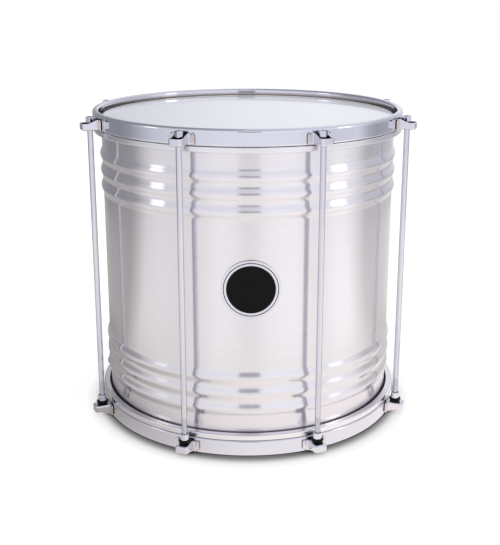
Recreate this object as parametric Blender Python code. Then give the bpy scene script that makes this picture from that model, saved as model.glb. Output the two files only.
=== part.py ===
"""Repinique: a double-headed Brazilian drum, tuned by rods that run from hoop to hoop.

Run it with blender --background --python part.py, or from Blender's text editor. Lengths are in metres.
The drum stands on its lower hoop, +Z up, its origin at the centre of its base and its badge towards -Y.
A depth is measured from a hoop's crest towards the drum's middle, so both ends share their outlines.
"""

import math

import bmesh
import bpy

MM = 0.001
CLEARANCE = 0.3 * MM
WELD_DISTANCE = 0.001 * MM
SHARP_ANGLE = math.radians(50)
ENDS = ("top", "bottom")

# Facets: every rod faces the middle of a flat on the rings, and its ears sit on that flat
ROD_COUNT = 8
FLATS_PER_ROD = 5
SMALL_SIDES = 8
EDGE_FACETS = 2
BEAD_FACETS = 4
INNER_BEAD_FACETS = 2
BADGE_SIDES = 24

# Shell: aluminium with beads rolled near both ends, its ends turned inwards as bearing edges
SHELL_RADIUS = 151.5 * MM
SHELL_WALL = 1.2 * MM
SHELL_DEPTH = 303.0 * MM
EDGE_ROUND = 2.5 * MM
EDGE_FLANGE = 3.0 * MM
BEAD_COUNT = 3
BEAD_PITCH = 16.4 * MM
BEAD_HEIGHT = 2.2 * MM
BEAD_INSET = 29.2 * MM

# Heads: a plastic film over the bearing edge, its skirt sunk in the flesh hoop's channel
HEAD_THICKNESS = 0.5 * MM
FLESH_HOOP_GAP = 2.0 * MM
FLESH_HOOP_WIDTH = 5.9 * MM
FLESH_HOOP_HEIGHT = 5.6 * MM
CHANNEL_WALL = 0.9 * MM
CHANNEL_WIDTH = 1.6 * MM
CHANNEL_FLOOR = 1.7 * MM
SKIRT_CLEARANCE = 0.5 * MM

# Hoops: a steel band with a rolled crest and an inward flange that presses on the flesh hoop
RIM_OVER_HEAD = 7.0 * MM
HOOP_HEIGHT = 16.1 * MM
HOOP_WALL = 1.8 * MM
HOOP_OVERHANG = 0.6 * MM
HOOP_FLANGE = 1.5 * MM
HOOP_CORNER = 0.7 * MM
RIM_WIDTH = 6.5 * MM
RIM_DROP = 4.6 * MM
RIM_ROUND = 1.8 * MM
RIM_SHEET = 1.4 * MM

# Tension rods with square heads, and the washers under them
ROD_STANDOFF = 8.0 * MM
ROD_RADIUS = 2.75 * MM
THREAD_STEP = 0.1 * MM
THREAD_SHOWN = 16.5 * MM
TIP_TAPER = 0.8 * MM
TIP_ABOVE_NUT_FOOT = 1.8 * MM
KEY_HALF_WIDTH = 2.95 * MM
KEY_LENGTH = 8.3 * MM
KEY_CHAMFER = 0.5 * MM
KEY_TURNS = (43, -33, 12, -20, 38, 5, 31, -35)  # degrees from facing outwards, as the tuning left each rod
COLLAR_RADIUS = 4.1 * MM
COLLAR_HEIGHT = 1.8 * MM
WASHER_RADIUS = 4.6 * MM
WASHER_THICKNESS = 1.2 * MM
TURNING_CLEARANCE = 0.55 * MM

# Sleeve nuts, kept from turning by the lower ears, and the nylon rings round them
NUT_RADIUS = 4.3 * MM
NUT_PROUD = 10.2 * MM
NUT_HEAD_HEIGHT = 4.0 * MM
NUT_CHAMFER = 0.4 * MM
SLEEVE_CLEARANCE = 0.35 * MM
RING_FOOT_WALL = 0.75 * MM
RING_GROOVE_WALL = 0.35 * MM
RING_LIP_WALL = 1.45 * MM
RING_FOOT_HEIGHT = 1.2 * MM
RING_GROOVE_HEIGHT = 0.5 * MM
RING_LIP_HEIGHT = 2.0 * MM

# Ears: pressed steel pockets, open towards the drum's end, welded to the hoop by their flanges
EAR_SHEET = 1.3 * MM
EAR_SIDE_GAP = 0.32 * MM
EAR_NOSE = 9.2 * MM
EAR_FLANGE_SPAN = 5.35 * MM
EAR_FLANGE_HEIGHT = 10.4 * MM
EAR_WALL_HEIGHT = 7.0 * MM
EAR_SLOPE_PAST_ROD = 3.0 * MM
EAR_CORNER = 3.2 * MM
EAR_BEND = 1.0 * MM
EAR_SET_BACK = {"top": 1.1 * MM, "bottom": 3.3 * MM}

# Badge: a plain metal disc bent to the shell, with a dark enamel inlay
BADGE_RADIUS = 28.4 * MM
BADGE_THICKNESS = 0.7 * MM
BADGE_BORDER = 5.2 * MM
INLAY_THICKNESS = 0.5 * MM
BADGE_RISE = 8.4 * MM

# Derived sizes
RING_SEGMENTS = FLATS_PER_ROD * ROD_COUNT
RING_REACH = 1 / math.cos(math.pi / RING_SEGMENTS)
SMALL_REACH = 1 / math.cos(math.pi / SMALL_SIDES)
SHELL_END_DEPTH = RIM_OVER_HEAD + HEAD_THICKNESS + CLEARANCE
TOTAL_HEIGHT = SHELL_DEPTH + 2 * SHELL_END_DEPTH
FLESH_INNER = SHELL_RADIUS + FLESH_HOOP_GAP
FLESH_OUTER = FLESH_INNER + FLESH_HOOP_WIDTH
FLESH_TOP = HOOP_HEIGHT + CLEARANCE
CHANNEL_INNER = FLESH_INNER + CHANNEL_WALL
CHANNEL_BOTTOM = FLESH_TOP + FLESH_HOOP_HEIGHT - CHANNEL_FLOOR
HOOP_OUTER = FLESH_OUTER + HOOP_OVERHANG
ROD_CIRCLE = HOOP_OUTER + ROD_STANDOFF
ROD_BORE = ROD_RADIUS + TURNING_CLEARANCE
SLEEVE_BORE = NUT_RADIUS + SLEEVE_CLEARANCE
POCKET_HALF_WIDTH = max(WASHER_RADIUS, SLEEVE_BORE) * SMALL_REACH + EAR_SIDE_GAP
EAR_HALF_WIDTH = POCKET_HALF_WIDTH + EAR_SHEET
EAR_BACK = HOOP_OUTER + CLEARANCE
EAR_SLOPE_END = ROD_CIRCLE + EAR_SLOPE_PAST_ROD
EAR_FRONT = ROD_CIRCLE + EAR_NOSE
EAR_BASE = {end: HOOP_HEIGHT - EAR_SET_BACK[end] for end in ENDS}
WASHER_FOOT = EAR_BASE["top"] - EAR_SHEET - CLEARANCE
COLLAR_FOOT = WASHER_FOOT - WASHER_THICKNESS - CLEARANCE
NUT_HEAD_TOP = EAR_BASE["bottom"] - EAR_SHEET - CLEARANCE
NUT_FOOT = NUT_HEAD_TOP - NUT_HEAD_HEIGHT
NUT_TOP = EAR_BASE["bottom"] + NUT_PROUD
RING_FOOT = EAR_BASE["bottom"] + CLEARANCE
BADGE_BACK = SHELL_RADIUS * RING_REACH + CLEARANCE
BADGE_CENTRE = TOTAL_HEIGHT / 2 + BADGE_RISE

# Each finish: base colour, roughness, metallic
FINISHES = {
    "brushed_aluminium": ((0.80, 0.79, 0.80), 0.32, 1.0),
    "chromed_steel": ((0.86, 0.86, 0.88), 0.10, 1.0),
    "drawn_aluminium": ((0.83, 0.83, 0.85), 0.25, 1.0),
    "white_film": ((0.88, 0.89, 0.91), 0.20, 0.0),
    "black_nylon": ((0.015, 0.015, 0.018), 0.40, 0.0),
    "black_enamel": ((0.010, 0.010, 0.012), 0.15, 0.0),
}


def clear_scene():
    """Remove every object, so that a second run starts empty."""
    for old in list(bpy.data.objects):
        bpy.data.objects.remove(old, do_unlink=True)


def material(name):
    """The Principled material of a finish, made on first use."""
    found = bpy.data.materials.get(name)
    if found:
        return found
    colour, roughness, metallic = FINISHES[name]
    made = bpy.data.materials.new(name)
    made.use_nodes = True
    shader = made.node_tree.nodes["Principled BSDF"]
    shader.inputs["Base Color"].default_value = (*colour, 1.0)
    shader.inputs["Roughness"].default_value = roughness
    shader.inputs["Metallic"].default_value = metallic
    return made


def finished(name, shape, finish):
    """Turn a bmesh into a mesh with outward faces, a finish and smooth round sides."""
    bmesh.ops.recalc_face_normals(shape, faces=shape.faces)
    mesh = bpy.data.meshes.new(name)
    shape.to_mesh(mesh)
    shape.free()
    mesh.materials.append(material(finish))
    mesh.shade_smooth()
    mesh.set_sharp_from_angle(angle=SHARP_ANGLE)
    return mesh


def add_piece(name, mesh, location=(0, 0, 0), turn=0.0):
    """Add one named piece of the drum, turned about the Z axis."""
    piece = bpy.data.objects.new(name, mesh)
    piece.location = location
    piece.rotation_euler = (0, 0, turn)
    bpy.context.collection.objects.link(piece)
    return piece


def height_at(end, depth):
    """Height above the base of a depth at one end."""
    return TOTAL_HEIGHT - depth if end == "top" else depth


def turned(outline):
    """Turn (radius, height) points about the Z axis; an outline that starts on the axis also ends there."""
    shape = bmesh.new()
    points = [shape.verts.new((0, -radius * RING_REACH, height)) for radius, height in outline]
    edges = [shape.edges.new(pair) for pair in zip(points, points[1:])]
    if outline[0][0] > 0:
        edges.append(shape.edges.new((points[-1], points[0])))
    bmesh.ops.spin(
        shape,
        geom=points + edges,
        axis=(0, 0, 1),
        cent=(0, 0, 0),
        angle=math.tau,
        steps=RING_SEGMENTS,
        use_merge=True,
    )
    bmesh.ops.remove_doubles(shape, verts=shape.verts, dist=WELD_DISTANCE)
    return shape


def lofted(sections, hollow):
    """Join sections of (half width, height, reach) about the Z axis; a hollow piece closes on itself."""
    shape = bmesh.new()
    angles = [math.tau * side / SMALL_SIDES for side in range(SMALL_SIDES)]
    rings = []
    for half_width, height, reach in sections:
        corners = [(half_width * reach(angle), angle) for angle in angles]
        rings.append([shape.verts.new((r * math.cos(a), r * math.sin(a), height)) for r, a in corners])
    pairs = list(zip(rings, rings[1:]))
    if hollow:
        pairs.append((rings[-1], rings[0]))
    else:
        shape.faces.new(rings[0])
        shape.faces.new(rings[-1])
    for lower, upper in pairs:
        for side in range(SMALL_SIDES):
            after = (side + 1) % SMALL_SIDES
            shape.faces.new((lower[side], lower[after], upper[after], upper[side]))
    return shape


def round_reach(_angle):
    """Corner reach of a round section, whose flats lie at its half width."""
    return SMALL_REACH


def square_reach(angle):
    """Reach of a square section, whose sides face along X and Y."""
    quarter = math.pi / 2
    return 1 / math.cos((angle + quarter / 2) % quarter - quarter / 2)


def edge_arc(reach, facets):
    """(radius, depth) points round a bearing edge's own centre, from its crest to its outer side."""
    radius = SHELL_RADIUS - EDGE_ROUND
    depth = SHELL_END_DEPTH + EDGE_ROUND
    angles = [math.pi / 2 * (1 - step / facets) for step in range(facets + 1)]
    return [(radius + reach * math.cos(angle), depth - reach * math.sin(angle)) for angle in angles]


def bead_line(facets):
    """(swell, depth) points along the beads of one end: arcs that meet in sharp valleys."""
    arc_radius = (BEAD_PITCH**2 / 4 + BEAD_HEIGHT**2) / (2 * BEAD_HEIGHT)
    points = []
    for step in range(BEAD_COUNT * facets + 1):
        off_centre = BEAD_PITCH * ((step % facets) / facets - 0.5)
        swell = math.sqrt(arc_radius**2 - off_centre**2) - arc_radius + BEAD_HEIGHT
        points.append((swell, SHELL_END_DEPTH + BEAD_INSET + BEAD_PITCH * step / facets))
    return points


def wall_line(edge_facets, bead_facets, inset):
    """(radius, height) points of one face of the shell's sheet, from its upper edge to its lower one."""
    flange = (SHELL_RADIUS - EDGE_ROUND - EDGE_FLANGE, SHELL_END_DEPTH + inset)
    half = [flange] + edge_arc(EDGE_ROUND - inset, edge_facets)
    half += [(SHELL_RADIUS - inset + swell, depth) for swell, depth in bead_line(bead_facets)]
    top = [(radius, height_at("top", depth)) for radius, depth in half]
    bottom = [(radius, height_at("bottom", depth)) for radius, depth in half]
    return top + bottom[::-1]


def shell_outline():
    """The shell's sheet: its outer face, then its inner face back to the start."""
    outer = wall_line(EDGE_FACETS, BEAD_FACETS, 0)
    inner = wall_line(EDGE_FACETS, INNER_BEAD_FACETS, SHELL_WALL)
    return outer + inner[::-1]


def head_outline():
    """(radius, depth) points of a head: flat, bent over the bearing edge, its skirt in the channel."""
    skirt = CHANNEL_INNER + (CHANNEL_WIDTH - HEAD_THICKNESS) / 2
    hem = CHANNEL_BOTTOM - SKIRT_CLEARANCE
    faces = []
    for lift, radius in ((CLEARANCE + HEAD_THICKNESS, skirt + HEAD_THICKNESS), (CLEARANCE, skirt)):
        over_edge = edge_arc(EDGE_ROUND + lift, EDGE_FACETS)
        faces.append([(0, SHELL_END_DEPTH - lift)] + over_edge + [(radius, FLESH_TOP), (radius, hem)])
    outside, underside = faces
    return outside + underside[::-1]


def flesh_hoop_outline():
    """(radius, depth) points of a flesh hoop: a channel, open towards the crest."""
    bottom = FLESH_TOP + FLESH_HOOP_HEIGHT
    channel_outer = CHANNEL_INNER + CHANNEL_WIDTH
    return [
        (FLESH_INNER, FLESH_TOP),
        (CHANNEL_INNER, FLESH_TOP),
        (CHANNEL_INNER, CHANNEL_BOTTOM),
        (channel_outer, CHANNEL_BOTTOM),
        (channel_outer, FLESH_TOP),
        (FLESH_OUTER, FLESH_TOP),
        (FLESH_OUTER, bottom),
        (FLESH_INNER, bottom),
    ]


def hoop_outline():
    """(radius, depth) points of a hoop: band, crest rolled inwards and down, and pressing flange."""
    rim_inner = HOOP_OUTER - RIM_WIDTH
    band_inner = HOOP_OUTER - HOOP_WALL
    return [
        (HOOP_OUTER, RIM_ROUND),
        (HOOP_OUTER - RIM_ROUND, 0),
        (rim_inner + RIM_ROUND, 0),
        (rim_inner, RIM_ROUND),
        (rim_inner, RIM_DROP),
        (rim_inner + RIM_SHEET, RIM_DROP),
        (rim_inner + RIM_SHEET, RIM_ROUND),
        (band_inner, RIM_ROUND),
        (band_inner, HOOP_HEIGHT - HOOP_WALL),
        (band_inner - HOOP_FLANGE, HOOP_HEIGHT - HOOP_WALL),
        (band_inner - HOOP_FLANGE, HOOP_HEIGHT),
        (HOOP_OUTER - HOOP_CORNER, HOOP_HEIGHT),
        (HOOP_OUTER, HOOP_HEIGHT - HOOP_CORNER),
    ]


def rod_mesh():
    """A tension rod: threaded tip, shank, collar and square head."""
    thread_radius = ROD_RADIUS - THREAD_STEP
    tip = NUT_FOOT + TIP_ABOVE_NUT_FOOT
    thread_end = NUT_TOP + THREAD_SHOWN
    collar_foot = height_at("top", COLLAR_FOOT)
    collar_top = collar_foot + COLLAR_HEIGHT
    head_top = collar_top + KEY_LENGTH
    sections = [
        (thread_radius - TIP_TAPER, tip, round_reach),
        (thread_radius, tip + TIP_TAPER, round_reach),
        (thread_radius, thread_end, round_reach),
        (ROD_RADIUS, thread_end + THREAD_STEP, round_reach),
        (ROD_RADIUS, collar_foot, round_reach),
        (COLLAR_RADIUS, collar_foot, round_reach),
        (COLLAR_RADIUS, collar_top, round_reach),
        (KEY_HALF_WIDTH, collar_top, square_reach),
        (KEY_HALF_WIDTH, head_top - KEY_CHAMFER, square_reach),
        (KEY_HALF_WIDTH - KEY_CHAMFER, head_top, square_reach),
    ]
    return finished("tension_rod", lofted(sections, hollow=False), "chromed_steel")


def washer_mesh():
    """The washer between a rod's collar and the floor of its ear."""
    foot = height_at("top", WASHER_FOOT)
    top = foot + WASHER_THICKNESS
    sections = [
        (ROD_BORE, foot, round_reach),
        (WASHER_RADIUS, foot, round_reach),
        (WASHER_RADIUS, top, round_reach),
        (ROD_BORE, top, round_reach),
    ]
    return finished("rod_washer", lofted(sections, hollow=True), "chromed_steel")


def nut_mesh():
    """A sleeve nut: a square head held between the ear's sides, and a round barrel through its floor."""
    half_width = POCKET_HALF_WIDTH - SLEEVE_CLEARANCE
    sections = [
        (ROD_BORE, NUT_FOOT, round_reach),
        (half_width, NUT_FOOT, square_reach),
        (half_width, NUT_HEAD_TOP, square_reach),
        (NUT_RADIUS, NUT_HEAD_TOP, round_reach),
        (NUT_RADIUS, NUT_TOP - NUT_CHAMFER, round_reach),
        (NUT_RADIUS - NUT_CHAMFER, NUT_TOP, round_reach),
        (ROD_BORE, NUT_TOP, round_reach),
    ]
    return finished("sleeve_nut", lofted(sections, hollow=True), "chromed_steel")


def ring_mesh():
    """The nylon ring round a nut's barrel: a foot, a groove and a wider lip."""
    groove_foot = RING_FOOT + RING_FOOT_HEIGHT
    lip_foot = groove_foot + RING_GROOVE_HEIGHT
    lip_top = lip_foot + RING_LIP_HEIGHT
    sections = [
        (SLEEVE_BORE, RING_FOOT, round_reach),
        (SLEEVE_BORE + RING_FOOT_WALL, RING_FOOT, round_reach),
        (SLEEVE_BORE + RING_FOOT_WALL, groove_foot, round_reach),
        (SLEEVE_BORE + RING_GROOVE_WALL, lip_foot, round_reach),
        (SLEEVE_BORE + RING_LIP_WALL, lip_foot, round_reach),
        (SLEEVE_BORE + RING_LIP_WALL, lip_top, round_reach),
        (SLEEVE_BORE, lip_top, round_reach),
    ]
    return finished("nut_grommet", lofted(sections, hollow=True), "black_nylon")


def half_ear_plan(face):
    """(sideways, radius) points of one half of an ear's face, from the hoop to the nose.

    The outer face starts along the flange, whose bend its last six points share with the inner face."""
    inset = 0 if face == "outer" else EAR_SHEET
    side = EAR_HALF_WIDTH - inset
    start = EAR_BACK + EAR_SHEET - inset
    rounding = EAR_CORNER - inset
    corner = (EAR_HALF_WIDTH - EAR_CORNER, EAR_FRONT - EAR_CORNER)
    diagonal = rounding * math.cos(math.pi / 4)
    bend_and_corner = [
        (side + EAR_BEND, start),
        (side, start + EAR_BEND),
        (side, EAR_SLOPE_END),
        (side, corner[1]),
        (corner[0] + diagonal, corner[1] + diagonal),
        (corner[0], corner[1] + rounding),
    ]
    if face == "inner":
        return bend_and_corner
    flange_end = EAR_HALF_WIDTH + EAR_FLANGE_SPAN
    return [(flange_end, EAR_BACK), (flange_end, EAR_BACK + EAR_SHEET)] + bend_and_corner


def mirrored(half):
    """A whole plan from one half of it."""
    return half + [(-sideways, radius) for sideways, radius in half[::-1]]


def ear_wall_height(radius):
    """Height of an ear's wall above its base: it falls from the flange, then stays level round the nose."""
    flange_front = EAR_BACK + EAR_SHEET
    share = min(max((radius - flange_front) / (EAR_SLOPE_END - flange_front), 0), 1)
    return EAR_FLANGE_HEIGHT + share * (EAR_WALL_HEIGHT - EAR_FLANGE_HEIGHT)


def fill_plate(shape, loops):
    """Fill the space between an outline and a hole."""
    edges = []
    for loop in loops:
        for first, second in zip(loop, loop[1:] + loop[:1]):
            edges.append(shape.edges.get((first, second)) or shape.edges.new((first, second)))
    bmesh.ops.triangle_fill(shape, use_beauty=True, edges=edges)


def ear_mesh(end, hole_radius):
    """A pressed ear: a pocket with a holed floor, open towards the drum's end and against the hoop."""
    shape = bmesh.new()
    base = EAR_BASE[end]
    floor = base - EAR_SHEET

    def corners(plan, depth_of):
        """Vertices of a plan, each at the depth that its radius gives."""
        return [shape.verts.new((s, -radius, height_at(end, depth_of(radius)))) for s, radius in plan]

    outer = mirrored(half_ear_plan("outer"))
    inner = mirrored(half_ear_plan("inner"))
    outer_base = corners(outer, lambda radius: base)
    outer_lip = corners(outer, lambda radius: base - ear_wall_height(radius))
    inner_lip = corners(inner, lambda radius: base - ear_wall_height(radius))
    inner_floor = corners(inner, lambda radius: floor)
    for k in range(len(outer) - 1):
        shape.faces.new((outer_base[k], outer_base[k + 1], outer_lip[k + 1], outer_lip[k]))
    for k in range(len(inner) - 1):
        shape.faces.new((inner_floor[k], inner_lip[k], inner_lip[k + 1], inner_floor[k + 1]))
        shape.faces.new((outer_lip[k + 2], outer_lip[k + 3], inner_lip[k + 1], inner_lip[k]))
    shape.faces.new((*outer_lip[:3], inner_lip[0]))
    shape.faces.new((*outer_lip[-3:], inner_lip[-1]))
    back = [outer_base[0], outer_base[-1], outer_lip[-1], inner_lip[-1]]
    back += [inner_floor[-1], inner_floor[0], inner_lip[0], outer_lip[0]]
    shape.faces.new(back)

    hole_plan = []
    for side in range(SMALL_SIDES):
        angle = math.tau * side / SMALL_SIDES
        reach = hole_radius * SMALL_REACH
        hole_plan.append((reach * math.cos(angle), ROD_CIRCLE - reach * math.sin(angle)))
    hole_base = corners(hole_plan, lambda radius: base)
    hole_floor = corners(hole_plan, lambda radius: floor)
    fill_plate(shape, (outer_base, hole_base))
    fill_plate(shape, (inner_floor, hole_floor))
    for side in range(SMALL_SIDES):
        after = (side + 1) % SMALL_SIDES
        shape.faces.new((hole_base[side], hole_base[after], hole_floor[after], hole_floor[side]))
    return finished(f"{end}_ear", shape, "chromed_steel")


def curved_disc(name, radius, back, thickness, finish):
    """A disc bent round the drum's axis at the badge's height, made of upright strips."""
    shape = bmesh.new()
    sides = BADGE_SIDES // 2
    faces = []
    for distance in (back, back + thickness):
        upper, lower = [], []
        for step in range(sides + 1):
            angle = math.pi * step / sides
            along = radius * math.cos(angle) / SHELL_RADIUS
            across, outwards = distance * math.sin(along), -distance * math.cos(along)
            rise = radius * math.sin(angle)
            upper.append(shape.verts.new((across, outwards, BADGE_CENTRE + rise)))
            at_tip = step in (0, sides)
            lower.append(upper[-1] if at_tip else shape.verts.new((across, outwards, BADGE_CENTRE - rise)))
        faces.append(upper + lower[-2:0:-1])
        shape.faces.new((upper[0], upper[1], lower[1]))
        shape.faces.new((upper[-1], upper[-2], lower[-2]))
        for step in range(1, sides - 1):
            shape.faces.new((upper[step], upper[step + 1], lower[step + 1], lower[step]))
    inside, outside = faces
    for k in range(BADGE_SIDES):
        after = (k + 1) % BADGE_SIDES
        shape.faces.new((inside[k], inside[after], outside[after], outside[k]))
    return finished(name, shape, finish)


def add_shell():
    """The beaded shell."""
    add_piece("shell", finished("shell", turned(shell_outline()), "brushed_aluminium"))


def add_end(end):
    """The head, flesh hoop and hoop of one end."""
    rings = {
        "head_film": (head_outline(), "white_film"),
        "flesh_hoop": (flesh_hoop_outline(), "drawn_aluminium"),
        "hoop": (hoop_outline(), "chromed_steel"),
    }
    for kind, (outline, finish) in rings.items():
        placed = [(radius, height_at(end, depth)) for radius, depth in outline]
        name = f"{end}_{kind}"
        add_piece(name, finished(name, turned(placed), finish))


def add_tension_set():
    """The ears of both hoops, and the rod, washer, nut and ring that join each pair."""
    ears = {"top": ear_mesh("top", ROD_BORE), "bottom": ear_mesh("bottom", SLEEVE_BORE)}
    on_rod = {
        "tension_rod": rod_mesh(),
        "rod_washer": washer_mesh(),
        "sleeve_nut": nut_mesh(),
        "nut_grommet": ring_mesh(),
    }
    for number in range(1, ROD_COUNT + 1):
        turn = math.tau * (number - 0.5) / ROD_COUNT
        for end in ENDS:
            add_piece(f"{end}_ear_{number}", ears[end], turn=turn)
        axis = (ROD_CIRCLE * math.sin(turn), -ROD_CIRCLE * math.cos(turn), 0)
        key_turn = math.radians(KEY_TURNS[(number - 1) % len(KEY_TURNS)])
        for kind, mesh in on_rod.items():
            own_turn = key_turn if kind == "tension_rod" else 0
            add_piece(f"{kind}_{number}", mesh, axis, turn + own_turn)


def add_badge():
    """The badge's plate and its inlay."""
    plate = curved_disc("badge_plate", BADGE_RADIUS, BADGE_BACK, BADGE_THICKNESS, "chromed_steel")
    add_piece("badge_plate", plate)
    inlay_back = BADGE_BACK + BADGE_THICKNESS + CLEARANCE
    inlay_radius = BADGE_RADIUS - BADGE_BORDER
    inlay = curved_disc("badge_inlay", inlay_radius, inlay_back, INLAY_THICKNESS, "black_enamel")
    add_piece("badge_inlay", inlay)


def main():
    """Build the whole drum."""
    clear_scene()
    add_shell()
    for end in ENDS:
        add_end(end)
    add_tension_set()
    add_badge()


main()
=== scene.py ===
"""Repinique: the visible drum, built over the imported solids.

Lengths are in metres. +Z is up, the badge faces -Y, and the drum stands on its lower hoop.
A depth is measured from a hoop's crest towards the drum's middle, so both ends share their outlines.
"""

import logging
import math
from collections.abc import Callable, Sequence
from dataclasses import dataclass
from enum import Enum
from typing import Any, Protocol

import bmesh
import bpy
from mathutils import Matrix, Vector


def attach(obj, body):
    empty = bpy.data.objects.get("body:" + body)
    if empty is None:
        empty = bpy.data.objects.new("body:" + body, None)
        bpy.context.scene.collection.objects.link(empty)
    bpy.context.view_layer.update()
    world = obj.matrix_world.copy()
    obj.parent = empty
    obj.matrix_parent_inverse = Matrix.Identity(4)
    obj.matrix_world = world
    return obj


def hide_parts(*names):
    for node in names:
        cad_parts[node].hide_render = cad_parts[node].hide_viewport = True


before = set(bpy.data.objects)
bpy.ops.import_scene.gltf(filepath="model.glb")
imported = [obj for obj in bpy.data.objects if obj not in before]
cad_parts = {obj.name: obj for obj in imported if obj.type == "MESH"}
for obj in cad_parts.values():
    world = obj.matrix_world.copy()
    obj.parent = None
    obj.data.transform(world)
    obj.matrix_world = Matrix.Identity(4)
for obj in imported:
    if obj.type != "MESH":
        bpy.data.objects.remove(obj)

LOG = logging.getLogger("repinique")
MM = 0.001
DRUM = "drum"
WELD_DISTANCE = 0.0005 * MM
SHARP_ANGLE = math.radians(38)

Point = tuple[float, float]
Corner = tuple[float, float, float]
Colour = tuple[float, float, float, float]


# Shared sizes


@dataclass(frozen=True)
class DrumSizes:
    """Sizes that several sub-assemblies share, the same as in the part's source."""

    total_height: float = 318.6 * MM
    shell_radius: float = 151.5 * MM
    shell_end: float = 7.8 * MM
    edge_round: float = 2.5 * MM
    hoop_outer: float = 160.0 * MM
    hoop_height: float = 16.1 * MM
    flesh_inner: float = 153.5 * MM
    flesh_outer: float = 159.4 * MM
    flesh_top: float = 16.4 * MM
    flesh_foot: float = 22.0 * MM
    channel_inner: float = 154.4 * MM
    channel_outer: float = 156.0 * MM
    channel_bottom: float = 20.3 * MM
    rod_circle: float = 168.0 * MM
    rod_count: int = 8
    rod_radius: float = 2.75 * MM
    rod_bore: float = 3.3 * MM
    sleeve_bore: float = 4.65 * MM
    pocket_half_width: float = 5.353 * MM
    sheet: float = 1.3 * MM
    nut_foot: float = 7.2 * MM
    nut_top: float = 23.0 * MM

    def rod_turn(self, number: int) -> float:
        """Angle about the drum's axis of a numbered rod, from the badge."""
        return math.tau * (number - 0.5) / self.rod_count


SIZES = DrumSizes()


class End(Enum):
    """An end of the drum."""

    TOP = "top"
    BOTTOM = "bottom"

    def height(self, depth: float) -> float:
        """Height above the floor of a depth at this end."""
        return SIZES.total_height - depth if self is End.TOP else depth

    @property
    def ear_base(self) -> float:
        """Depth of the outer side of this end's ear floors."""
        return 15.0 * MM if self is End.TOP else 12.8 * MM

    @property
    def ear_hole(self) -> float:
        """Radius of the hole in this end's ears."""
        return SIZES.rod_bore if self is End.TOP else SIZES.sleeve_bore


# Node trees and finishes


def linear(hex_colour: str) -> Colour:
    """The linear colour of an sRGB hex value."""
    channels = [int(hex_colour[k : k + 2], 16) / 255 for k in (1, 3, 5)]
    values = [c / 12.92 if c <= 0.04045 else ((c + 0.055) / 1.055) ** 2.4 for c in channels]
    return (values[0], values[1], values[2], 1.0)


def add_node(
    tree: bpy.types.NodeTree,
    kind: str,
    settings: dict[str, Any] | None = None,
    inputs: dict[Any, Any] | None = None,
) -> bpy.types.Node:
    """Add one node to a tree.

    Args:
        tree: the tree that gets the node.
        kind: Blender's name for the kind of node.
        settings: the node's own properties.
        inputs: what goes into its inputs, by name or place: a value, a socket or a list of sockets.

    Returns:
        The new node.
    """
    node = tree.nodes.new(kind)
    for key, value in (settings or {}).items():
        setattr(node, key, value)
    for key, value in (inputs or {}).items():
        sources = value if isinstance(value, list) else [value]
        for source in sources:
            if isinstance(source, bpy.types.NodeSocket):
                tree.links.new(source, node.inputs[key])
            else:
                node.inputs[key].default_value = source
    return node


def surface(name: str, constants: dict[str, Any]) -> tuple[bpy.types.Material, bpy.types.Node]:
    """Make a material with one Principled shader.

    Args:
        name: the material's name.
        constants: values of the shader's own sockets.

    Returns:
        The material and its shader.
    """
    material = bpy.data.materials.new(name)
    material.use_nodes = True
    material.node_tree.nodes.clear()
    shader = add_node(material.node_tree, "ShaderNodeBsdfPrincipled", inputs=constants)
    add_node(material.node_tree, "ShaderNodeOutputMaterial", inputs={"Surface": shader.outputs[0]})
    return material, shader


def level_lines(tree: bpy.types.NodeTree, spacing: float, length: float) -> bpy.types.NodeSocket:
    """Lines that run level round the drum, as a belt or a die leaves them.

    Args:
        tree: the material's tree.
        spacing: distance from line to line up the drum.
        length: length of a line before it fades.

    Returns:
        The strength of the lines, from 0 to 1.
    """
    place = add_node(tree, "ShaderNodeTexCoord").outputs["Object"]
    scale = (1 / length, 1 / length, 1 / spacing)
    drawn_out = add_node(tree, "ShaderNodeMapping", inputs={"Vector": place, "Scale": scale})
    lines = add_node(
        tree,
        "ShaderNodeTexNoise",
        inputs={"Vector": drawn_out.outputs[0], "Scale": 1.0, "Detail": 5.0, "Roughness": 0.6},
    )
    return lines.outputs["Fac"]


def blotches(tree: bpy.types.NodeTree, size: float, detail: float = 3.0) -> bpy.types.NodeSocket:
    """Soft uneven patches of a size, from 0 to 1, all round."""
    place = add_node(tree, "ShaderNodeTexCoord").outputs["Object"]
    noise = add_node(
        tree, "ShaderNodeTexNoise", inputs={"Vector": place, "Scale": 1 / size, "Detail": detail}
    )
    return noise.outputs["Fac"]


def between(tree: bpy.types.NodeTree, share: Any, low: float, high: float) -> bpy.types.NodeSocket:
    """A value that goes from low to high as a noise goes from weak to strong."""
    values = {"Value": share, "From Min": 0.3, "From Max": 0.7, "To Min": low, "To Max": high}
    return add_node(tree, "ShaderNodeMapRange", inputs=values).outputs[0]


def mixed(tree: bpy.types.NodeTree, share: Any, first: Any, second: Any) -> bpy.types.NodeSocket:
    """A colour between two, by a share from 0 to 1; a colour is a hex value or a socket."""
    colours = [linear(item) if isinstance(item, str) else item for item in (first, second)]
    settings = {"data_type": "RGBA"}
    return add_node(tree, "ShaderNodeMix", settings, {0: share, 6: colours[0], 7: colours[1]}).outputs[2]


def dented(tree: bpy.types.NodeTree, height: Any, depth: float, strength: float = 1.0) -> bpy.types.NodeSocket:
    """A surface normal that follows a height pattern of a real depth."""
    values = {"Height": height, "Distance": depth, "Strength": strength}
    return add_node(tree, "ShaderNodeBump", inputs=values).outputs[0]


class Finish(Protocol):
    """A surface finish that a piece can be dressed in."""

    name: str
    slot: str

    def make(self) -> bpy.types.Material:
        """Build the finish's material."""
        ...


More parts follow.
